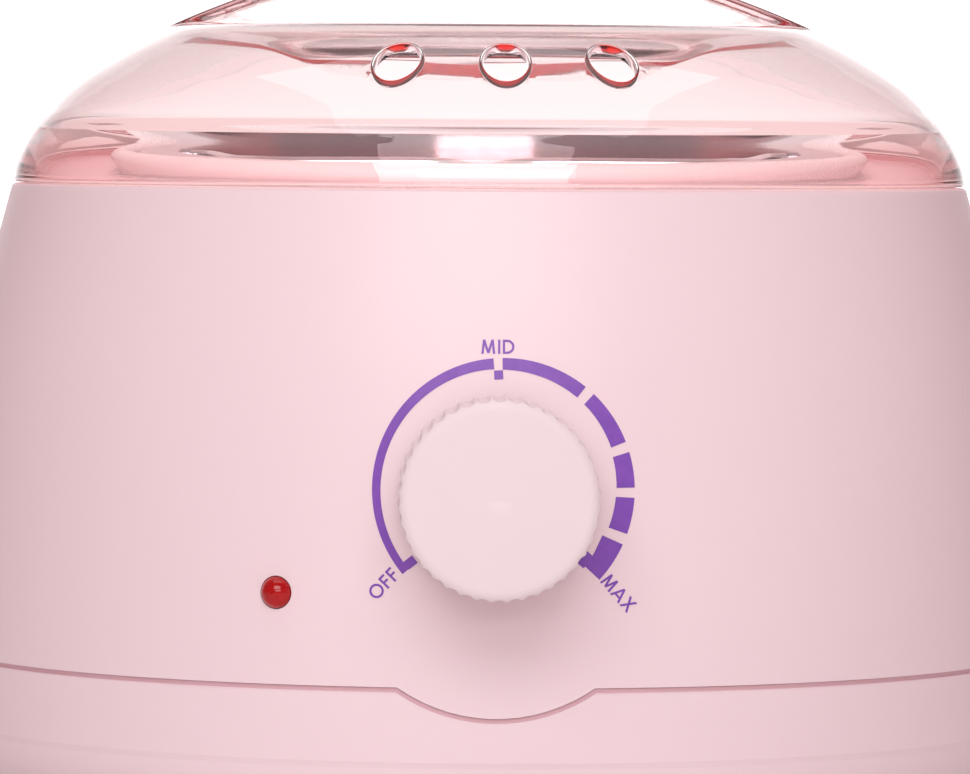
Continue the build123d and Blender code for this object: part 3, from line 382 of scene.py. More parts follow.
def lid_glass():
    """Clear rose plastic: tinted by the length of the way through it, with painted red light in the foot of its wall
    and on the walls of its vents.
    """
    k = Mat("clear_rose_fine", IOR=1.52)
    k.p.inputs["Transmission Weight"].default_value = 1.0
    n = k.noise(14.0, 3.0, 0.5, distort=0.4)
    fine = k.noise(1600.0, 2.0, 0.5)
    # painted light: the foot of the wall is tinted deeper red, for the red light that reaches it along long ways
    # inside the plastic
    sep = k.node("ShaderNodeSeparateXYZ")
    k.link(k.coord(), sep.inputs[0])
    foot = k.ramp(sep.outputs[2], 1.0, 0.0, 0.1118, 0.1136)
    clear_tone = k.mix(k.ramp(n, 0.0, 1.0), (1.0, 0.995, 0.995, 1.0), (1.0, 0.985, 0.985, 1.0))
    body_tone = k.mix(foot, clear_tone, (0.94, 0.77, 0.77, 1.0))
    # painted light: the walls of the vents are painted deep red, for the light that runs along inside the moulding
    edge = k.node("ShaderNodeAttribute", attribute_name="vent_wall_glow")
    k.to(k.mix(edge.outputs["Fac"], body_tone, (0.86, 0.0015, 0.001, 1.0)), "Base Color")
    k.to(k.ramp(fine, 0.0, 0.03), "Roughness")
    k.to(k.bump(n, 0.04, 0.0002), "Normal")
    d = max(LID_SIGMA) * 1.25
    v = k.node("ShaderNodeVolumeAbsorption")
    v.inputs["Color"].default_value = (*[1 - s / d for s in LID_SIGMA], 1.0)
    v.inputs["Density"].default_value = d
    k.link(v.outputs[0], k.out.inputs["Volume"])
    # lamps shine through it, so that what is under the lid is lit
    path = k.node("ShaderNodeLightPath")
    clear = k.node("ShaderNodeBsdfTransparent")
    clear.inputs["Color"].default_value = (0.985, 0.955, 0.955, 1.0)
    mix = k.node("ShaderNodeMixShader")
    k.link(path.outputs["Is Shadow Ray"], mix.inputs[0])
    k.link(k.p.outputs[0], mix.inputs[1])
    k.link(clear.outputs[0], mix.inputs[2])
    k.link(mix.outputs[0], k.out.inputs["Surface"])
    return k.m


M["clear_rose_plastic"] = lid_glass()

SLOT_OF = {
    "upper_housing": "pink_plastic",
    "base_tray": "pink_plastic",
    "pot_collar": "white_plastic",
    "control_knob": "knob_plastic",
    "rubber_feet": "foot_rubber",
    "housing_screws": "zinc_steel",
    "clamp_screw": "zinc_steel",
    "well_screws": "zinc_steel",
    "shield_screws": "zinc_steel",
    "fuse_screw": "zinc_steel",
    "cord_clamp_screws": "zinc_steel",
    "thermostat_bracket": "zinc_steel",
    "thermostat_nut": "zinc_steel",
    "well_brackets": "zinc_steel",
    "heating_well": "well_aluminium",
    "heater_band": "mica_band",
    "band_clamp": "spring_steel",
    "fuse_clip": "spring_steel",
    "knob_clip": "spring_steel",
    "insulation_wrap": "glass_fibre",
    "heat_shield": "shield_aluminium",
    "thermostat_body": "ceramic",
    "terminal_block": "ceramic",
    "thermostat_bush": "brass_parts",
    "thermostat_shaft": "brass_parts",
    "thermostat_terminals": "brass_parts",
    "terminal_screws": "brass_parts",
    "thermal_fuse": "fuse_case",
    "indicator_lens": "lens_red",
    "indicator_holder": "holder_plastic",
    "indicator_lamp": "lamp_glass",
    "indicator_board": "board",
    "cord_gland": "gland_plastic",
    "cord_clamp": "gland_plastic",
    "lead_thermostat": "lead_sleeve",
    "lead_heater": "lead_sleeve",
    "lead_indicator": "lead_sleeve",
    "wax_pot": "pot_aluminium",
    "pot_ears": "ear_steel",
    "ear_rivets": "ear_steel",
    "pot_handle": "bail_wire",
    "lid": "clear_rose_plastic",
}
for name, ob in nodes.items():
    for s in ob.material_slots:
        s.material = M[SLOT_OF[name]]


def put(ob, material, body, stands_for=()):
    ob.data.materials.append(M[material])
    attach(ob, body)
    if stands_for:
        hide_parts(*stands_for)
    return ob


# --------------------------------------------------------------------------
# lid
# --------------------------------------------------------------------------
Z_RIM = 105.5
WALL = 2.0
DOME = [
    (83.8, 0.3), (83.3, 3.0), (82.1, 6.0), (80.4, 9.0), (78.2, 12.0), (75.7, 15.1),
    (72.6, 18.1), (68.6, 21.0), (63.7, 24.0), (57.5, 27.2), (50.0, 30.5), (42.0, 33.55),
    (32.0, 36.65), (25.0, 38.2), (18.0, 39.3), (9.0, 40.05), (0.0, 40.3),
]


def moved_in(points, by):
    out = []
    for i, (r, z) in enumerate(points):
        r0, z0 = points[max(i - 1, 0)]
        r1, z1 = points[min(i + 1, len(points) - 1)]
        run = math.hypot(r1 - r0, z1 - z0)
        out.append((r - by * (z1 - z0) / run, z + by * (r1 - r0) / run))
    return out


CREASE = (77.95, 8.6)
IN_HIGH = [CREASE] + moved_in(DOME, WALL)[4:-1] + [(0.0, 38.3)]
IN_LOW = [(80.5, 0.3), (80.2, 3.0), (79.2, 6.0), CREASE]


def mirrored(points):
    """The profile carried on past the axis, so that it is level there."""
    return list(points) + [(-r, z) for r, z in reversed(points[:-1])]


class Side:
    """One skin of the lid as a height over the plan."""

    def __init__(self, dome, floor, foot, top, wide, k):
        self.curve = Cubic(mirrored(dome))
        self.end = self.curve.t[len(dome) - 1]
        self.scoop = floor
        self.foot, self.top = foot, top
        self.k = k
        self.wide = wide

    def dome(self, r):
        t = self.curve.param(0, r, 0.0, self.end)
        return self.curve.at(t)[..., 1], t

    def slope(self, t):
        a, b = self.curve.at(t - 0.02), self.curve.at(t + 0.02)
        return (b[..., 1] - a[..., 1]) / (b[..., 0] - a[..., 0])

    def scoop_z(self, r):
        (r1, z1), (r2, z2), (r3, z3) = self.scoop
        floor = np.full_like(r, z1)
        wall = z1 + (r - r1) * (z2 - z1) / (r2 - r1)
        lip = z2 + (r - r2) * (z3 - z2) / (r3 - r2)
        return smin(smax(floor, wall, 1.4), lip, 1.2) + 0 * r

    def height(self, x, y):
        r = np.hypot(x, y)
        zd, t = self.dome(np.minimum(r, 77.0))
        cd = 1 / np.sqrt(1 + self.slope(t) ** 2)
        zs = self.scoop_z(r)
        ds = (self.scoop_z(r + 0.05) - self.scoop_z(r - 0.05)) / 0.1
        cs = 1 / np.sqrt(1 + ds**2)
        (y0, z0), (y1, z1) = self.foot, self.top
        lean = (y1 - y0) / (z1 - z0)
        cw = 1 / math.sqrt(1 + lean**2)
        lo, hi = np.full_like(r, 5.0), np.full_like(r, 45.0)
        for _ in range(40):
            z = (lo + hi) / 2
            f_dome = (z - zd) * cd
            f_scoop = (z - zs) * cs
            f_wall = (np.abs(y) - (y0 + lean * (z - z0))) * cw
            f = smax(f_dome, smin(f_scoop, f_wall, self.k), self.k)
            lo, hi = np.where(f < 0, z, lo), np.where(f < 0, hi, z)
        return (lo + hi) / 2


outer = Side(DOME, [(34.0, 24.0), (39.0, 26.4), (56.0, 27.95)], (10.2, 23.0), (7.9, 51.0), 56.0, 1.5)
inner = Side(IN_HIGH, [(34.64, 22.0), (39.8, 24.5), (58.5, 26.25)], (8.2, 21.0), (5.9, 51.0), 58.5, 1.2)

N = 384
R_JOIN = 76.0
VENTS = [math.radians(15.3 * k + 1.2) for k in (-1, 0, 1)]
VENT_R, VENT_A, VENT_B = 68.0, 3.85, 4.5
VENT_R_IN = 66.9      # the wall of a vent stands square to the dome


def vent_loop(turn, grow, at=VENT_R, n=64):
    a = np.arange(n) * 2 * math.pi / n
    u, v = (VENT_A + grow) * np.cos(a), (VENT_B + grow) * np.sin(a)
    c, s = math.cos(turn), math.sin(turn)
    # u runs round the lid, v runs out from the axis
    return np.stack([at * s + u * c + v * s, -at * c + u * s - v * c], 1)


def vent_inside(p, grow, at=VENT_R):
    hit = np.zeros(len(p), bool)
    for turn in VENTS:
        c, s = math.cos(turn), math.sin(turn)
        d = p - np.array([at * s, -at * c])
        u, v = d @ np.array([c, s]), d @ np.array([s, -c])
        hit |= (u / (VENT_A + grow)) ** 2 + (v / (VENT_B + grow)) ** 2 < 1
    return hit


def lid_plan(at):
    """Points of the plan, and its triangles, with the three vents left out."""
    ys = np.unique(np.round(np.concatenate([
        np.arange(0, 6.5, 1.1), np.arange(6.5, 8.3, 0.22), np.arange(8.3, 10.4, 0.12),
        np.arange(10.4, 12.2, 0.22), np.arange(12.2, 16, 0.6),
    ]), 4))
    ys = np.unique(np.concatenate([-ys, ys]))
    xs = np.arange(-60, 60.01, 1.2)
    gx, gy = np.meshgrid(xs, ys)
    near = np.stack([gx.ravel(), gy.ravel()], 1)
    near = near[np.hypot(near[:, 0], near[:, 1]) < 60.2]
    far = []
    for i, r in enumerate(np.concatenate([
        np.arange(16.5, 32, 1.3), np.arange(32, 42.6, 0.55), np.arange(42.8, 54, 1.2),
        np.arange(54, 60, 0.6), np.arange(60.4, 75.2, 1.1),
    ])):
        n = max(24, int(2 * math.pi * r / 1.25))
        a = (np.arange(n) + 0.5 * (i % 2)) * 2 * math.pi / n
        p = np.stack([r * np.cos(a), r * np.sin(a)], 1)
        if r < 60.2:
            p = p[np.abs(p[:, 1]) > 16.2]
        far.append(p)
    p = np.concatenate([near] + far)
    p = p[~vent_inside(p, 1.5, at)]
    rims = [vent_loop(t, 0.3, at) for t in VENTS]
    extra = [vent_loop(t, g, at) for t in VENTS for g in (0.6, 1.05)]
    a = np.arange(N) * 2 * math.pi / N
    edge = R_JOIN * np.stack([np.cos(a), np.sin(a)], 1)
    pts = np.concatenate([edge] + rims + [p] + extra)
    cons = [(j, (j + 1) % N) for j in range(N)]
    for v in range(3):
        b = N + 64 * v
        cons += [(b + j, b + (j + 1) % 64) for j in range(64)]
    got = delaunay_2d_cdt([Vector(q) for q in pts.tolist()], cons, [], 0, 1e-7, True)
    verts = np.array([tuple(v) for v in got[0]])
    faces = np.array(got[2])
    mid = verts[faces].mean(1)
    faces = faces[~vent_inside(mid, 0.28, at)]
    a2, b2, c2 = (verts[faces[:, i]] for i in range(3))
    area = (b2[:, 0] - a2[:, 0]) * (c2[:, 1] - a2[:, 1]) - (b2[:, 1] - a2[:, 1]) * (c2[:, 0] - a2[:, 0])
    faces = np.where((area < 0)[:, None], faces[:, ::-1], faces)
    back = {}
    for i, ids in enumerate(got[3]):
        for j in ids:
            back[j] = i
    return verts, faces, back


def build_lid():
    plan, tris, back = lid_plan(VENT_R)
    plan_in, tris_in, back_in = lid_plan(VENT_R_IN)
    zo = outer.height(plan[:, 0], plan[:, 1])
    zi = inner.height(plan_in[:, 0], plan_in[:, 1])
    n = len(plan)
    verts = [
        np.column_stack([plan, zo + Z_RIM]),
        np.column_stack([plan_in, zi + Z_RIM]),
    ]
    faces = [tuple(int(i) for i in t) for t in tris] + [tuple(int(i) + n for i in t[::-1]) for t in tris_in]
    count = n + len(plan_in)
    # side wall: outside down to the rim, round the lip, and up the inside
    oc, ic = outer.curve, inner.curve
    t_join = float(oc.param(0, np.array(R_JOIN), 0.0, outer.end))
    down = [tuple(oc.at(t)) for t in np.linspace(t_join, 0.9, 18)[1:]]
    t_in = float(ic.param(0, np.array(R_JOIN), 0.0, inner.end))
    low_curve = Cubic(IN_LOW)
    up_low = [tuple(low_curve.at(t)) for t in np.linspace(0.35, low_curve.t[-1], 12)]
    up_high = [tuple(ic.at(t)) for t in np.linspace(0.0, t_in, 4)[1:-1]]
    lip = [
        (83.79, 0.72), (83.70, 0.46), (83.46, 0.32), (83.1, 0.3), (81.95, 0.3), (81.72, 0.2),
        (81.7, -0.1), (81.7, -1.2), (81.6, -1.5), (81.3, -1.6), (80.75, -1.6), (80.48, -1.5), (80.4, -1.25),
        (80.4, -0.15), (80.43, 0.1), (80.48, 0.25),
    ]
    profile = down + lip + up_low + up_high
    rings = revolve_rings([(r, z + Z_RIM) for r, z in profile], N)
    first = [back[j] for j in range(N)]
    last = [back_in[j] + n for j in range(N)]
    starts = []
    for ring in rings:
        verts.append(ring)
        starts.append(count)
        count += N
    order = [first] + [[s + j for j in range(N)] for s in starts] + [last]
    for a, b in zip(order, order[1:]):
        for j in range(N):
            k = (j + 1) % N
            faces.append((a[j], b[j], b[k], a[k]))
    # walls of the vents, with rounded edges
    bores_from = len(faces)
    for v, turn in enumerate(VENTS):
        top_ids = [back[N + 64 * v + j] for j in range(64)]
        low_ids = [back_in[N + 64 * v + j] for j in range(64)]
        top_z, low_z = zo[top_ids] + Z_RIM, zi[low_ids] + Z_RIM
        top_p, low_p = vent_loop(turn, 0.3), vent_loop(turn, 0.3, VENT_R_IN)
        axis = np.column_stack([low_p - top_p, low_z - top_z])
        axis /= np.linalg.norm(axis, axis=1)[:, None]
        loops = [top_ids]
        for grow, drop in ((0.15, 0.04), (0.05, 0.13), (0.0, 0.3)):
            p = np.column_stack([vent_loop(turn, grow), top_z]) + axis * drop
            verts.append(p)
            loops.append(list(range(count, count + 64)))
            count += 64
        for grow, drop in ((0.0, 0.3), (0.05, 0.13), (0.15, 0.04)):
            p = np.column_stack([vent_loop(turn, grow, VENT_R_IN), low_z]) - axis * drop
            verts.append(p)
            loops.append(list(range(count, count + 64)))
            count += 64
        loops.append([b + n for b in low_ids])
        for a, b in zip(loops, loops[1:]):
            for j in range(64):
                k = (j + 1) % 64
                faces.append((a[j], a[k], b[k], b[j]))
    ob = add_mesh("lid_dome", np.concatenate(verts), faces, sharp=180)
    me = ob.data
    # marks the vent walls, which the lid's material paints with a red glow
    wall = me.attributes.new("vent_wall_glow", "FLOAT", "CORNER")
    on = np.zeros(len(me.loops), dtype=np.float32)
    on[me.polygons[bores_from].loop_start:] = 1.0
    wall.data.foreach_set("value", on)
    # only the crease inside is sharp
    ring_c = starts[len(down) + len(lip) + len(up_low) - 1]
    co = set(range(ring_c, ring_c + N))
    for e in me.edges:
        if e.vertices[0] in co and e.vertices[1] in co:
            e.use_edge_sharp = True
    me.update()
    return ob


lid = put(build_lid(), "clear_rose_plastic", "lid", ["lid"])


# --------------------------------------------------------------------------
# printed scale and lettering on the barrel
# --------------------------------------------------------------------------
Z_RING = 56.7
RING_X = 1.05
BARREL = Cubic([
    (24.3, 94.3), (30.0, 94.42), (37.0, 94.5), (43.0, 94.44), (50.1, 94.25), (55.0, 93.95), (60.0, 93.49),
    (65.0, 92.89), (70.0, 92.15), (80.0, 90.21), (90.0, 87.81), (100.0, 85.20),
])


def barrel_r(z):
    t = BARREL.param(0, z, 0.0, BARREL.t[-1])
    return BARREL.at(t)[..., 1]


def on_barrel(p, out):
    """Points (x, z) of the front view, carried onto the barrel and moved out by a distance."""
    p = np.asarray(p, float)
    x, z = p[:, 0], p[:, 1]
    r = barrel_r(z)
    slope = (barrel_r(z + 0.1) - barrel_r(z - 0.1)) / 0.2
    y = -np.sqrt(r**2 - x**2)
    n = np.stack([x / r, y / r, -slope], 1)
    n /= np.linalg.norm(n, axis=1)[:, None]
    return np.stack([x, y, z], 1) + n * out


def printed(name, polys, out=0.055, back=-0.1):
    """A thin film on the barrel: the union of polygons in the front view, in mm from the scale's centre."""
    pts, faces = [], []
    for poly in polys:
        b = len(pts)
        pts += [Vector(p) for p in poly]
        faces.append(list(range(b, b + len(poly))))
    got = delaunay_2d_cdt(pts, [], faces, 0, 1e-5, True)
    v2 = np.array([tuple(v) for v in got[0]])
    tris = []
    for f, source in zip(got[2], got[5]):
        if not source:
            continue
        a, b, c = (v2[i] for i in f)
        s = (b[0] - a[0]) * (c[1] - a[1]) - (b[1] - a[1]) * (c[0] - a[0])
        if abs(s) > 1e-9:
            tris.append(tuple(f) if s > 0 else tuple(f)[::-1])
    used = sorted(set(i for t in tris for i in t))
    new = {o: i for i, o in enumerate(used)}
    v2 = v2[used]
    tris = [tuple(new[i] for i in t) for t in tris]
    n = len(v2)
    world = v2 + np.array([RING_X, Z_RING])
    verts = np.concatenate([on_barrel(world, out), on_barrel(world, back)])
    edges = {}
    for t in tris:
        for i in range(3):
            edges[(t[i], t[(i + 1) % 3])] = True
    # seen from the front (-Y) x runs right and z up, so counter-clockwise faces the viewer
    out_faces = list(tris) + [tuple(i + n for i in t[::-1]) for t in tris]
    for a, b in edges:
        if (b, a) not in edges:
            out_faces.append((b, a, a + n, b + n))
    return add_mesh(name, verts, out_faces, sharp=40)


def arc_band(a0, a1, r_out, r_in, step=1.2):
    """Polygons of a band from angle a0 to a1 (degrees, counter-clockwise, a0 > a1); r_in may change along it."""
    n = max(2, int(abs(a0 - a1) / step))
    ang = np.linspace(a0, a1, n + 1)
    ro = np.array([r_out(a) if callable(r_out) else r_out for a in ang])
    ri = np.array([r_in(a) if callable(r_in) else r_in for a in ang])
    c, s = np.cos(np.radians(ang)), np.sin(np.radians(ang))
    outer_pts = np.stack([ro * c, ro * s], 1)
    inner_pts = np.stack([ri * c, ri * s], 1)
    return [list(map(tuple, outer_pts[::-1])) + list(map(tuple, inner_pts))]


PX = 6.14
R_OUT = 131.8 / PX
INNER_R = [
    (-43.0, 111.0), (-37.0, 111.0), (-30.0, 109.5), (-24.4, 109.0), (-19.5, 112.0), (-3.4, 113.0), (1.1, 113.5),
    (16.8, 114.5), (21.5, 116.0), (46.8, 117.8), (51.5, 118.2), (88.0, 120.0), (97.0, 121.2), (120.0, 122.0),
    (180.0, 123.4), (221.0, 123.8),
]


def inner_r(a):
    xs, ys = zip(*INNER_R)
    return float(np.interp(a, xs, ys)) / PX


MID = 92.7
ring_polys = [
    arc_band(220.1, MID + 2.0, R_OUT, inner_r),
    arc_band(MID - 2.0, 51.5, R_OUT, inner_r),
    arc_band(46.8, 21.5, R_OUT, inner_r),
    arc_band(16.8, 1.1, R_OUT, inner_r),
    arc_band(-3.4, -19.5, R_OUT, inner_r),
    arc_band(-24.4, -42.9, R_OUT, inner_r),
]


def box_at(angle, r0, r1, width):
    """A radial tick from r0 to r1, in pixels of the scale."""
    a = math.radians(angle)
    c, s = math.cos(a), math.sin(a)
    h = width / 2
    out = []
    for r, w in ((r0, -h), (r1, -h), (r1, h), (r0, h)):
        out.append(((r * c - w * s) / PX, (r * s + w * c) / PX))
    return out


for i, polys in enumerate(ring_polys):
    put(printed("scale_band_%d" % (i + 1), polys), "ink", "housing")
put(printed("scale_tick_mid", [box_at(MID, 110.5, 119.5, 9.0)]), "ink", "housing")
put(printed("scale_tick_off", [box_at(218.2, 112.5, 123.9, 9.5)]), "ink", "housing")
put(printed("scale_tick_max", [box_at(-40.2, 103.5, 112.0, 15.5)]), "ink", "housing")


# letters: strokes of a thin geometric sans
def stroke(a, b, w):
    a, b = np.array(a, float), np.array(b, float)
    d = (b - a) / np.linalg.norm(b - a)
    n = np.array([-d[1], d[0]]) * w / 2
    return [tuple(a - n), tuple(b - n), tuple(b + n), tuple(a + n)]


def bow(cx, cy, rx, ry, a0, a1, w, n=28):
    out = []
    ang = np.radians(np.linspace(a0, a1, n + 1))
    for p, q in zip(ang, ang[1:]):
        quad = [
            (cx + (rx + w / 2) * math.cos(p), cy + (ry + w / 2) * math.sin(p)),
            (cx + (rx + w / 2) * math.cos(q), cy + (ry + w / 2) * math.sin(q)),
            (cx + (rx - w / 2) * math.cos(q), cy + (ry - w / 2) * math.sin(q)),
            (cx + (rx - w / 2) * math.cos(p), cy + (ry - w / 2) * math.sin(p)),
        ]
        out.append(quad)
    return out


CAP, PEN = 2.3, 0.36


def cut_line(a, b, w, y0, y1):
    """A slanting stroke from a to b, cut level at y0 and y1."""
    (ax, ay), (bx, by) = a, b
    dx, dy = bx - ax, by - ay
    run = math.hypot(dx, dy)
    h = w / 2 * run / abs(dy)

    def x_at(y):
        return ax + dx * (y - ay) / dy

    return [(x_at(y0) - h, y0), (x_at(y0) + h, y0), (x_at(y1) + h, y1), (x_at(y1) - h, y1)]


def letter(ch):
    """Polygons and width of one letter, from its left edge."""
    h, w = CAP, PEN
    if ch == "I":
        return [stroke((w / 2, 0), (w / 2, h), w)], w
    if ch == "F":
        return [
            stroke((w / 2, 0), (w / 2, h), w),
            stroke((0, h - w / 2), (1.22, h - w / 2), w),
            stroke((0, h * 0.52), (1.12, h * 0.52), w),
        ], 1.22
    if ch == "O":
        r = h / 2 + 0.03
        return bow(r, h / 2, r - w / 2, r - w / 2, 0, 360, w, 48), 2 * r
    if ch == "D":
        r = h / 2 - w / 2
        return (
            [
                stroke((w / 2, 0), (w / 2, h), w),
                stroke((0, h - w / 2), (0.75, h - w / 2), w),
                stroke((0, w / 2), (0.75, w / 2), w),
            ]
            + bow(0.72, h / 2, r + 0.02, r, -90, 90, w, 30),
            0.72 + r + w / 2,
        )
    if ch == "M":
        W = 2.35
        return [
            cut_line((0.22, 0), (0.48, h), w, 0, h),
            cut_line((W - 0.22, 0), (W - 0.48, h), w, 0, h),
            cut_line((0.48, h), (W / 2, 0.12), w, 0.12, h),
            cut_line((W - 0.48, h), (W / 2, 0.12), w, 0.12, h),
        ], W
    if ch == "A":
        W = 2.2
        return [
            cut_line((0.18, 0), (W / 2, h - 0.05), w, 0, h),
            cut_line((W - 0.18, 0), (W / 2, h - 0.05), w, 0, h),
            stroke((0.45, h * 0.30), (W - 0.45, h * 0.30), w * 0.9),
        ], W
    if ch == "X":
        W = 1.85
        return [
            cut_line((0.17, 0), (W - 0.22, h), w, 0, h),
            cut_line((W - 0.17, 0), (0.22, h), w, 0, h),
        ], W
    raise ValueError(ch)


def word(name, text, cx, cz, turn, gap):
    """A word centred at a point of the front view, from the scale's centre, turned counter-clockwise."""
    polys, widths = [], []
    for ch in text:
        p, w = letter(ch)
        polys.append(p)
        widths.append(w)
    total = sum(widths) + gap * (len(text) - 1)
    x = -total / 2
    c, s = math.cos(math.radians(turn)), math.sin(math.radians(turn))
    for i, (p, w) in enumerate(zip(polys, widths)):
        placed = []
        for poly in p:
            placed.append([
                (cx + (x + u) * c - (v - CAP / 2) * s, cz + (x + u) * s + (v - CAP / 2) * c) for u, v in poly
            ])
        put(printed("%s_%d" % (name, i + 1), placed), "ink", "housing")
        x += w + gap


word("text_mid", "MID", -6.5 / PX, 143.0 / PX, 0.0, 0.42)
word("text_off", "OFF", -120.0 / PX, -95.0 / PX, 47.0, 0.38)
word("text_max", "MAX", 116.0 / PX, -103.0 / PX, -49.0, 0.22)


# --------------------------------------------------------------------------
# pot and collar
# --------------------------------------------------------------------------
def arc3(a, b, c, n=10):
    """Points of the arc through a, b and c."""
    (x1, y1), (x2, y2), (x3, y3) = a, b, c
    d = 2 * (x1 * (y2 - y3) + x2 * (y3 - y1) + x3 * (y1 - y2))
    ux = ((x1**2 + y1**2) * (y2 - y3) + (x2**2 + y2**2) * (y3 - y1) + (x3**2 + y3**2) * (y1 - y2)) / d
    uy = ((x1**2 + y1**2) * (x3 - x2) + (x2**2 + y2**2) * (x1 - x3) + (x3**2 + y3**2) * (x2 - x1)) / d
    r = math.hypot(x1 - ux, y1 - uy)
    t = [math.atan2(y - uy, x - ux) for x, y in (a, b, c)]
    while t[1] - t[0] > math.pi:
        t[1] -= 2 * math.pi
    while t[1] - t[0] < -math.pi:
        t[1] += 2 * math.pi
    while t[2] - t[1] > math.pi:
        t[2] -= 2 * math.pi
    while t[2] - t[1] < -math.pi:
        t[2] += 2 * math.pi
    return [(ux + r * math.cos(v), uy + r * math.sin(v)) for v in np.linspace(t[0], t[2], n + 1)]


def softened(points, by=0.25):
    """A closed outline with each corner cut back a little to either side."""
    out = []
    m = len(points)
    for i in range(m):
        p0, p, p1 = (np.array(points[k % m], float) for k in (i - 1, i, i + 1))
        a, b = p0 - p, p1 - p
        la, lb = np.linalg.norm(a), np.linalg.norm(b)
        turn = math.degrees(math.acos(max(-1.0, min(1.0, float(-(a @ b) / (la * lb))))))
        if turn < 32:
            out.append(tuple(p))
            continue
        ca, cb = min(by, la * 0.3), min(by, lb * 0.3)
        q0, q1 = p + a / la * ca, p + b / lb * cb
        for t in (0.0, 0.33, 0.67, 1.0):
            out.append(tuple((1 - t) ** 2 * q0 + 2 * t * (1 - t) * p + t * t * q1))
    return out


collar_outline = (
    [(62.4, 102.1), (62.4, 99.8), (63.8, 99.8), (63.8, 103.5), (66.3, 103.5), (66.3, 103.9), (64.9, 104.2)]
    + arc3((64.9, 104.9), (66.2, 105.5), (66.7, 106.6), 10)
    + arc3((66.7, 106.6), (64.6, 108.6), (62.5, 106.6), 28)[1:]
    + [(62.5, 104.2), (59.0, 104.2), (59.0, 102.1)]
)
put(lathe("pot_collar_ring", softened(collar_outline, 0.2), 320), "white_plastic", "housing", ["pot_collar"])


def lathe_solid(name, profile, n, sharp=35.0):
    """A solid of revolution whose outline starts and ends on the axis, below and above."""
    inner_part = profile[1:-1]
    rings = revolve_rings(inner_part, n)
    m = len(inner_part)
    verts = np.concatenate(rings + [np.array([[0.0, 0.0, profile[0][1]], [0.0, 0.0, profile[-1][1]]])])
    faces = []
    for i in range(m - 1):
        faces += strip(i * n, (i + 1) * n, n)
    a, b = m * n, m * n + 1
    for j in range(n):
        k = (j + 1) % n
        faces.append((a, k, j))
        faces.append((b, (m - 1) * n + j, (m - 1) * n + k))
    return add_mesh(name, verts, faces, sharp)


F, T = 52.0, 1.2
pot_outline = (
    [(0.0, F - T), (15.0, F - T), (30.0, F - T)]
    + arc3((44.2, F - T), (48.9, 53.0), (50.9, 58.2), 12)
    + [(51.98, 70.2), (53.05, 82.1), (54.13, 94.1), (55.2, 106.1)]
    + arc3((55.25, 106.45), (55.36, 106.88), (55.7, 107.0), 4)
    + [(57.8, 107.0), (59.8, 107.0)]
    + arc3((59.8, 107.0), (60.093, 106.293), (60.8, 106.0), 8)[1:]
    + arc3((60.8, 106.0), (61.8, 107.0), (60.8, 108.0), 20)[1:]
    + [(58.2, 108.0), (55.5, 108.0)]
    + arc3((55.5, 108.0), (54.722, 107.678), (54.4, 106.9), 10)[1:]
    + [(53.3, 94.8), (52.2, 82.7), (51.2, 70.7)]
    + arc3((50.08, 58.6), (48.2, 54.0), (43.9, F), 12)
    + [(30.0, F), (15.0, F), (0.0, F)]
)


def pot_metal():
    """Spun aluminium, bright on the rolled rim, with painted shade inside: darker and pinker on the wall's inner side,
    for the dim, lid-tinted surroundings it reflects.
    """
    k = Mat("pot_aluminium_shaded_inside", Metallic=1.0)
    sep = k.node("ShaderNodeSeparateXYZ")
    k.link(k.coord(), sep.inputs[0])
    r = k.math("SQRT", k.math("ADD", k.math("POWER", sep.outputs[0], 2.0), k.math("POWER", sep.outputs[1], 2.0)))
    comb = k.node("ShaderNodeCombineXYZ")
    k.link(r, comb.inputs[0])
    k.link(sep.outputs[2], comb.inputs[2])
    rings = k.noise(1500.0, 2.5, 0.65, comb.outputs[0])
    cloud = k.noise(40.0, 4.0, 0.6)
    # 1 on the wall's inner side, 0 on its outer side and on the rim
    wall = k.math("MULTIPLY_ADD", sep.outputs[2], 0.0894, 0.05484 - 0.1069 * 0.0894)
    inside = k.ramp(k.math("SUBTRACT", wall, r), 0.0, 1.0, -0.0002, 0.0002)
    above = k.ramp(sep.outputs[2], 0.0, 1.0, 0.0513, 0.0515)
    inside = k.math("MULTIPLY", inside, above)
    bright = k.mix(k.ramp(cloud, 0.0, 1.0), srgb(228, 222, 224), srgb(216, 208, 212))
    # painted shade: the wall's inner side is given a darker, pinker tone
    painted_shade_inside = k.mix(k.ramp(cloud, 0.0, 1.0), srgb(176, 158, 162), srgb(164, 146, 150))
    k.to(k.mix(inside, bright, painted_shade_inside), "Base Color")
    both = k.math("MULTIPLY_ADD", rings, 0.6, k.math("MULTIPLY", cloud, 0.4))
    shine = k.ramp(both, 0.0, 0.1)
    k.to(k.math("MULTIPLY_ADD", inside, -0.26, k.math("ADD", shine, 0.34)), "Roughness")
    k.to(k.bump(rings, 0.15, 0.000012), "Normal")
    return k.m


M["pot_shaded_inside"] = pot_metal()
put(lathe_solid("wax_pot_spun", pot_outline, 320), "pot_shaded_inside", "pot", ["wax_pot"])


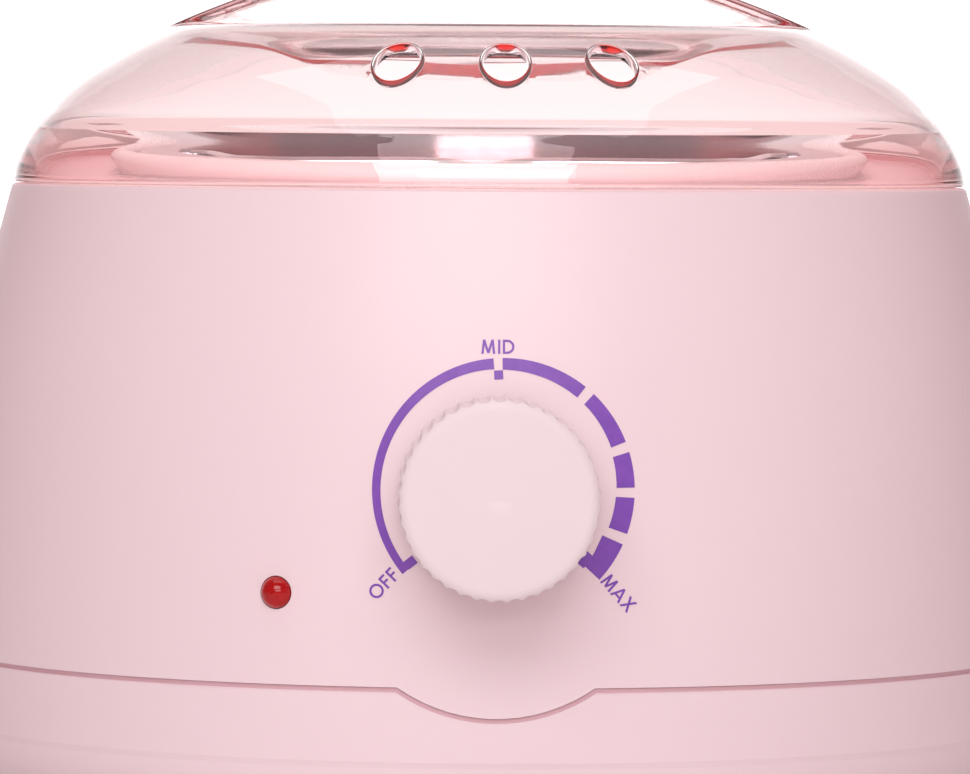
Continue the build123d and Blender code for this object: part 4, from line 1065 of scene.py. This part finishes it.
# --------------------------------------------------------------------------
# bail of the pot
# --------------------------------------------------------------------------
def build_bail():
    z = 106.7
    bar = z + 0.35
    pts = [
        (-53.2, 0.0, z), (-51.2, -0.05, z), (-49.5, -1.0, z), (-48.5, -3.6, z), (-47.2, -9.4, z), (-44.4, -22.6, z + 0.1),
        (-42.7, -27.4, z + 0.2), (-40.3, -31.6, bar), (-37.4, -34.3, bar), (-33.4, -35.4, bar), (-24.0, -35.6, bar),
        (-14.0, -35.8, bar), (-9.6, -36.3, bar - 0.1), (-6.6, -37.6, bar - 0.4), (-4.0, -39.5, bar - 0.85),
        (-2.0, -40.2, bar - 1.0), (0.0, -39.5, bar - 0.85), (2.6, -37.6, bar - 0.4), (5.6, -36.3, bar - 0.1),
        (10.0, -35.8, bar), (22.0, -35.6, bar), (33.4, -35.4, bar), (37.4, -34.3, bar), (40.3, -31.6, bar),
        (42.7, -27.4, z + 0.2), (44.4, -22.6, z + 0.1), (47.2, -9.4, z), (48.5, -3.6, z), (49.5, -1.0, z),
        (51.2, -0.05, z), (53.2, 0.0, z),
    ]
    curve = Cubic(pts)
    ts = np.linspace(0, curve.t[-1], 460)
    p = curve.at(ts)
    tan = np.gradient(p, axis=0)
    tan /= np.linalg.norm(tan, axis=1)[:, None]
    up = np.array([0.0, 0.0, 1.0])
    n1 = np.cross(up, tan)
    n1 /= np.linalg.norm(n1, axis=1)[:, None]
    n2 = np.cross(tan, n1)
    m = 20
    verts, faces = [], []
    for i in range(len(p)):
        # the ends are turned down to pins where they pass through the tabs
        x = abs(p[i][0])
        r = 1.2 - 0.17 * min(1.0, max(0.0, (x - 52.1) / 0.25))
        for j in range(m):
            a = 2 * math.pi * j / m
            verts.append(p[i] + r * (math.cos(a) * n1[i] + math.sin(a) * n2[i]))
    for i in range(len(p) - 1):
        for j in range(m):
            k = (j + 1) % m
            faces.append((i * m + j, (i + 1) * m + j, (i + 1) * m + k, i * m + k))
    for side, row in ((-1, 0), (1, len(p) - 1)):
        last = [row * m + j for j in range(m)]
        for x, r in ((53.85, 1.03), (54.05, 0.93), (54.18, 0.62)):
            start = len(verts)
            for j in range(m):
                a = 2 * math.pi * j / m
                verts.append(np.array([side * x, 0.0, z]) + r * (math.cos(a) * n1[row] + math.sin(a) * n2[row]))
            new = list(range(start, start + m))
            for j in range(m):
                k = (j + 1) % m
                f = (last[j], new[j], new[k], last[k])
                faces.append(f if side > 0 else f[::-1])
            last = new
        faces.append(tuple(last) if side > 0 else tuple(last[::-1]))
    return add_mesh("bail_wire_formed", np.array(verts), faces, sharp=50)


put(build_bail(), "bail_wire", "bail", ["pot_handle"])


# --------------------------------------------------------------------------
# stage: floor, light, camera
# --------------------------------------------------------------------------
def build_floor():
    rings = revolve_rings([(r, 0.0) for r in (4, 40, 120, 300, 600, 900)], 96)
    verts = np.concatenate([np.array([[0.0, 0.0, 0.0]])] + rings)
    faces = [(0, 1 + j, 1 + (j + 1) % 96) for j in range(96)]
    for i in range(5):
        a, b = 1 + i * 96, 1 + (i + 1) * 96
        for j in range(96):
            k = (j + 1) % 96
            faces.append((a + j, b + j, b + k, a + k))
    ob = add_mesh("stage_floor", verts, faces, smooth=False)
    k = Mat("stage_paper", Roughness=0.8)
    n = k.noise(6.0, 3.0, 0.5)
    k.to(k.mix(k.ramp(n, 0.0, 1.0), (0.86, 0.855, 0.85, 1), (0.83, 0.825, 0.82, 1)), "Base Color")
    ob.data.materials.append(k.m)
    return ob


build_floor()


def area(name, at, look, size, power, colour=(1, 1, 1), spread=math.pi):
    data = bpy.data.lights.new(name, "AREA")
    data.shape = "RECTANGLE"
    data.size, data.size_y = size
    data.energy = power
    data.color = colour
    data.spread = spread
    ob = bpy.data.objects.new(name, data)
    scene.collection.objects.link(ob)
    ob.location = at
    ob.rotation_euler = (Vector(look) - Vector(at)).to_track_quat("-Z", "Y").to_euler()
    return ob


area("key_softbox", (-0.10, -1.20, 0.86), (0, 0, 0.07), (1.1, 0.6), 9.2, (0.985, 1.0, 1.0))
area("low_softbox", (0.02, -1.40, 0.36), (0, 0, 0.09), (0.95, 0.2), 2.9, (0.95, 0.98, 1.0))
top = area("top_softbox", (0.0, 0.05, 1.25), (0, 0, 0.1), (1.1, 1.1), 5.0)
top.visible_transmission = False

THROUGH = (
    (0.0, (0.62, 0.62, 0.62)), (0.45, (0.60, 0.60, 0.60)), (0.56, (0.98, 0.72, 0.71)), (0.85, (1.05, 0.86, 0.85)), (0.95, (1.06, 1.03, 1.02)),
    (0.98, (1.14, 1.13, 1.125)), (1.0, (1.14, 1.13, 1.125)),
)
world = bpy.data.worlds.new("studio")
scene.world = world
world.use_nodes = True
wt = world.node_tree
wt.nodes.clear()
w_out = wt.nodes.new("ShaderNodeOutputWorld")
w_bg = wt.nodes.new("ShaderNodeBackground")
w_co = wt.nodes.new("ShaderNodeTexCoord")
w_sep = wt.nodes.new("ShaderNodeSeparateXYZ")
wt.links.new(w_co.outputs["Generated"], w_sep.inputs[0])
w_ramp = wt.nodes.new("ShaderNodeValToRGB")
w_map = wt.nodes.new("ShaderNodeMapRange")
w_map.inputs["From Min"].default_value = -1
w_map.inputs["From Max"].default_value = 1
wt.links.new(w_sep.outputs[1], w_map.inputs["Value"])
wt.links.new(w_map.outputs[0], w_ramp.inputs[0])
el = w_ramp.color_ramp.elements
el[0].position, el[0].color = 0.0, (0.42, 0.28, 0.29, 1)
el[1].position, el[1].color = 1.0, (1.7, 1.7, 1.7, 1)
for at, level, warm in ((0.5, 0.29, 1.24), (0.88, 0.29, 1.24), (0.94, 0.40, 1.1), (0.965, 0.8, 1.015), (0.985, 1.7, 1.015)):
    e = el.new(at)
    e.color = (level * warm, level * 0.97 / warm**0.5, level * 0.985 / warm**0.5, 1)
wt.links.new(w_ramp.outputs[0], w_bg.inputs["Color"])
w_bg.inputs["Strength"].default_value = 1.0
# the studio's white walls, as they show through clear plastic
w_thru = wt.nodes.new("ShaderNodeValToRGB")
wt.links.new(w_map.outputs[0], w_thru.inputs[0])
el = w_thru.color_ramp.elements
el[0].position, el[0].color = THROUGH[0][0], (*THROUGH[0][1], 1)
el[1].position, el[1].color = THROUGH[-1][0], (*THROUGH[-1][1], 1)
for at, colour in THROUGH[1:-1]:
    e = el.new(at)
    e.color = (*colour, 1)
w_path = wt.nodes.new("ShaderNodeLightPath")
w_bg2 = wt.nodes.new("ShaderNodeBackground")
wt.links.new(w_thru.outputs[0], w_bg2.inputs["Color"])
w_mix = wt.nodes.new("ShaderNodeMixShader")
wt.links.new(w_path.outputs["Is Transmission Ray"], w_mix.inputs[0])
wt.links.new(w_bg.outputs[0], w_mix.inputs[1])
wt.links.new(w_bg2.outputs[0], w_mix.inputs[2])
wt.links.new(w_mix.outputs[0], w_out.inputs["Surface"])

cam_data = bpy.data.cameras.new("camera")
cam_data.sensor_width = 36.0
cam_data.sensor_fit = "HORIZONTAL"
cam_data.lens = 7100 * 36.0 / 970
cam_data.clip_start = 0.05
cam_data.clip_end = 20
cam = bpy.data.objects.new("camera", cam_data)
scene.collection.objects.link(cam)
cam.matrix_world = (
    Matrix.Translation((-0.0218, -1.2498, 0.1175))
    @ Matrix.Rotation(math.radians(-0.976), 4, "Z")
    @ Matrix.Rotation(math.radians(90 - 2.178), 4, "X")
    @ Matrix.Rotation(math.radians(0.35), 4, "Z")
)
scene.camera = cam

scene.view_settings.view_transform = "Standard"
scene.view_settings.look = "None"
scene.view_settings.exposure = 0.0
scene.view_settings.gamma = 1.0
scene.cycles.max_bounces = 40
scene.cycles.transmission_bounces = 36
scene.cycles.transparent_max_bounces = 16
scene.cycles.diffuse_bounces = 5
scene.cycles.glossy_bounces = 24
scene.cycles.use_denoising = True
scene.cycles.sample_clamp_indirect = 6.0
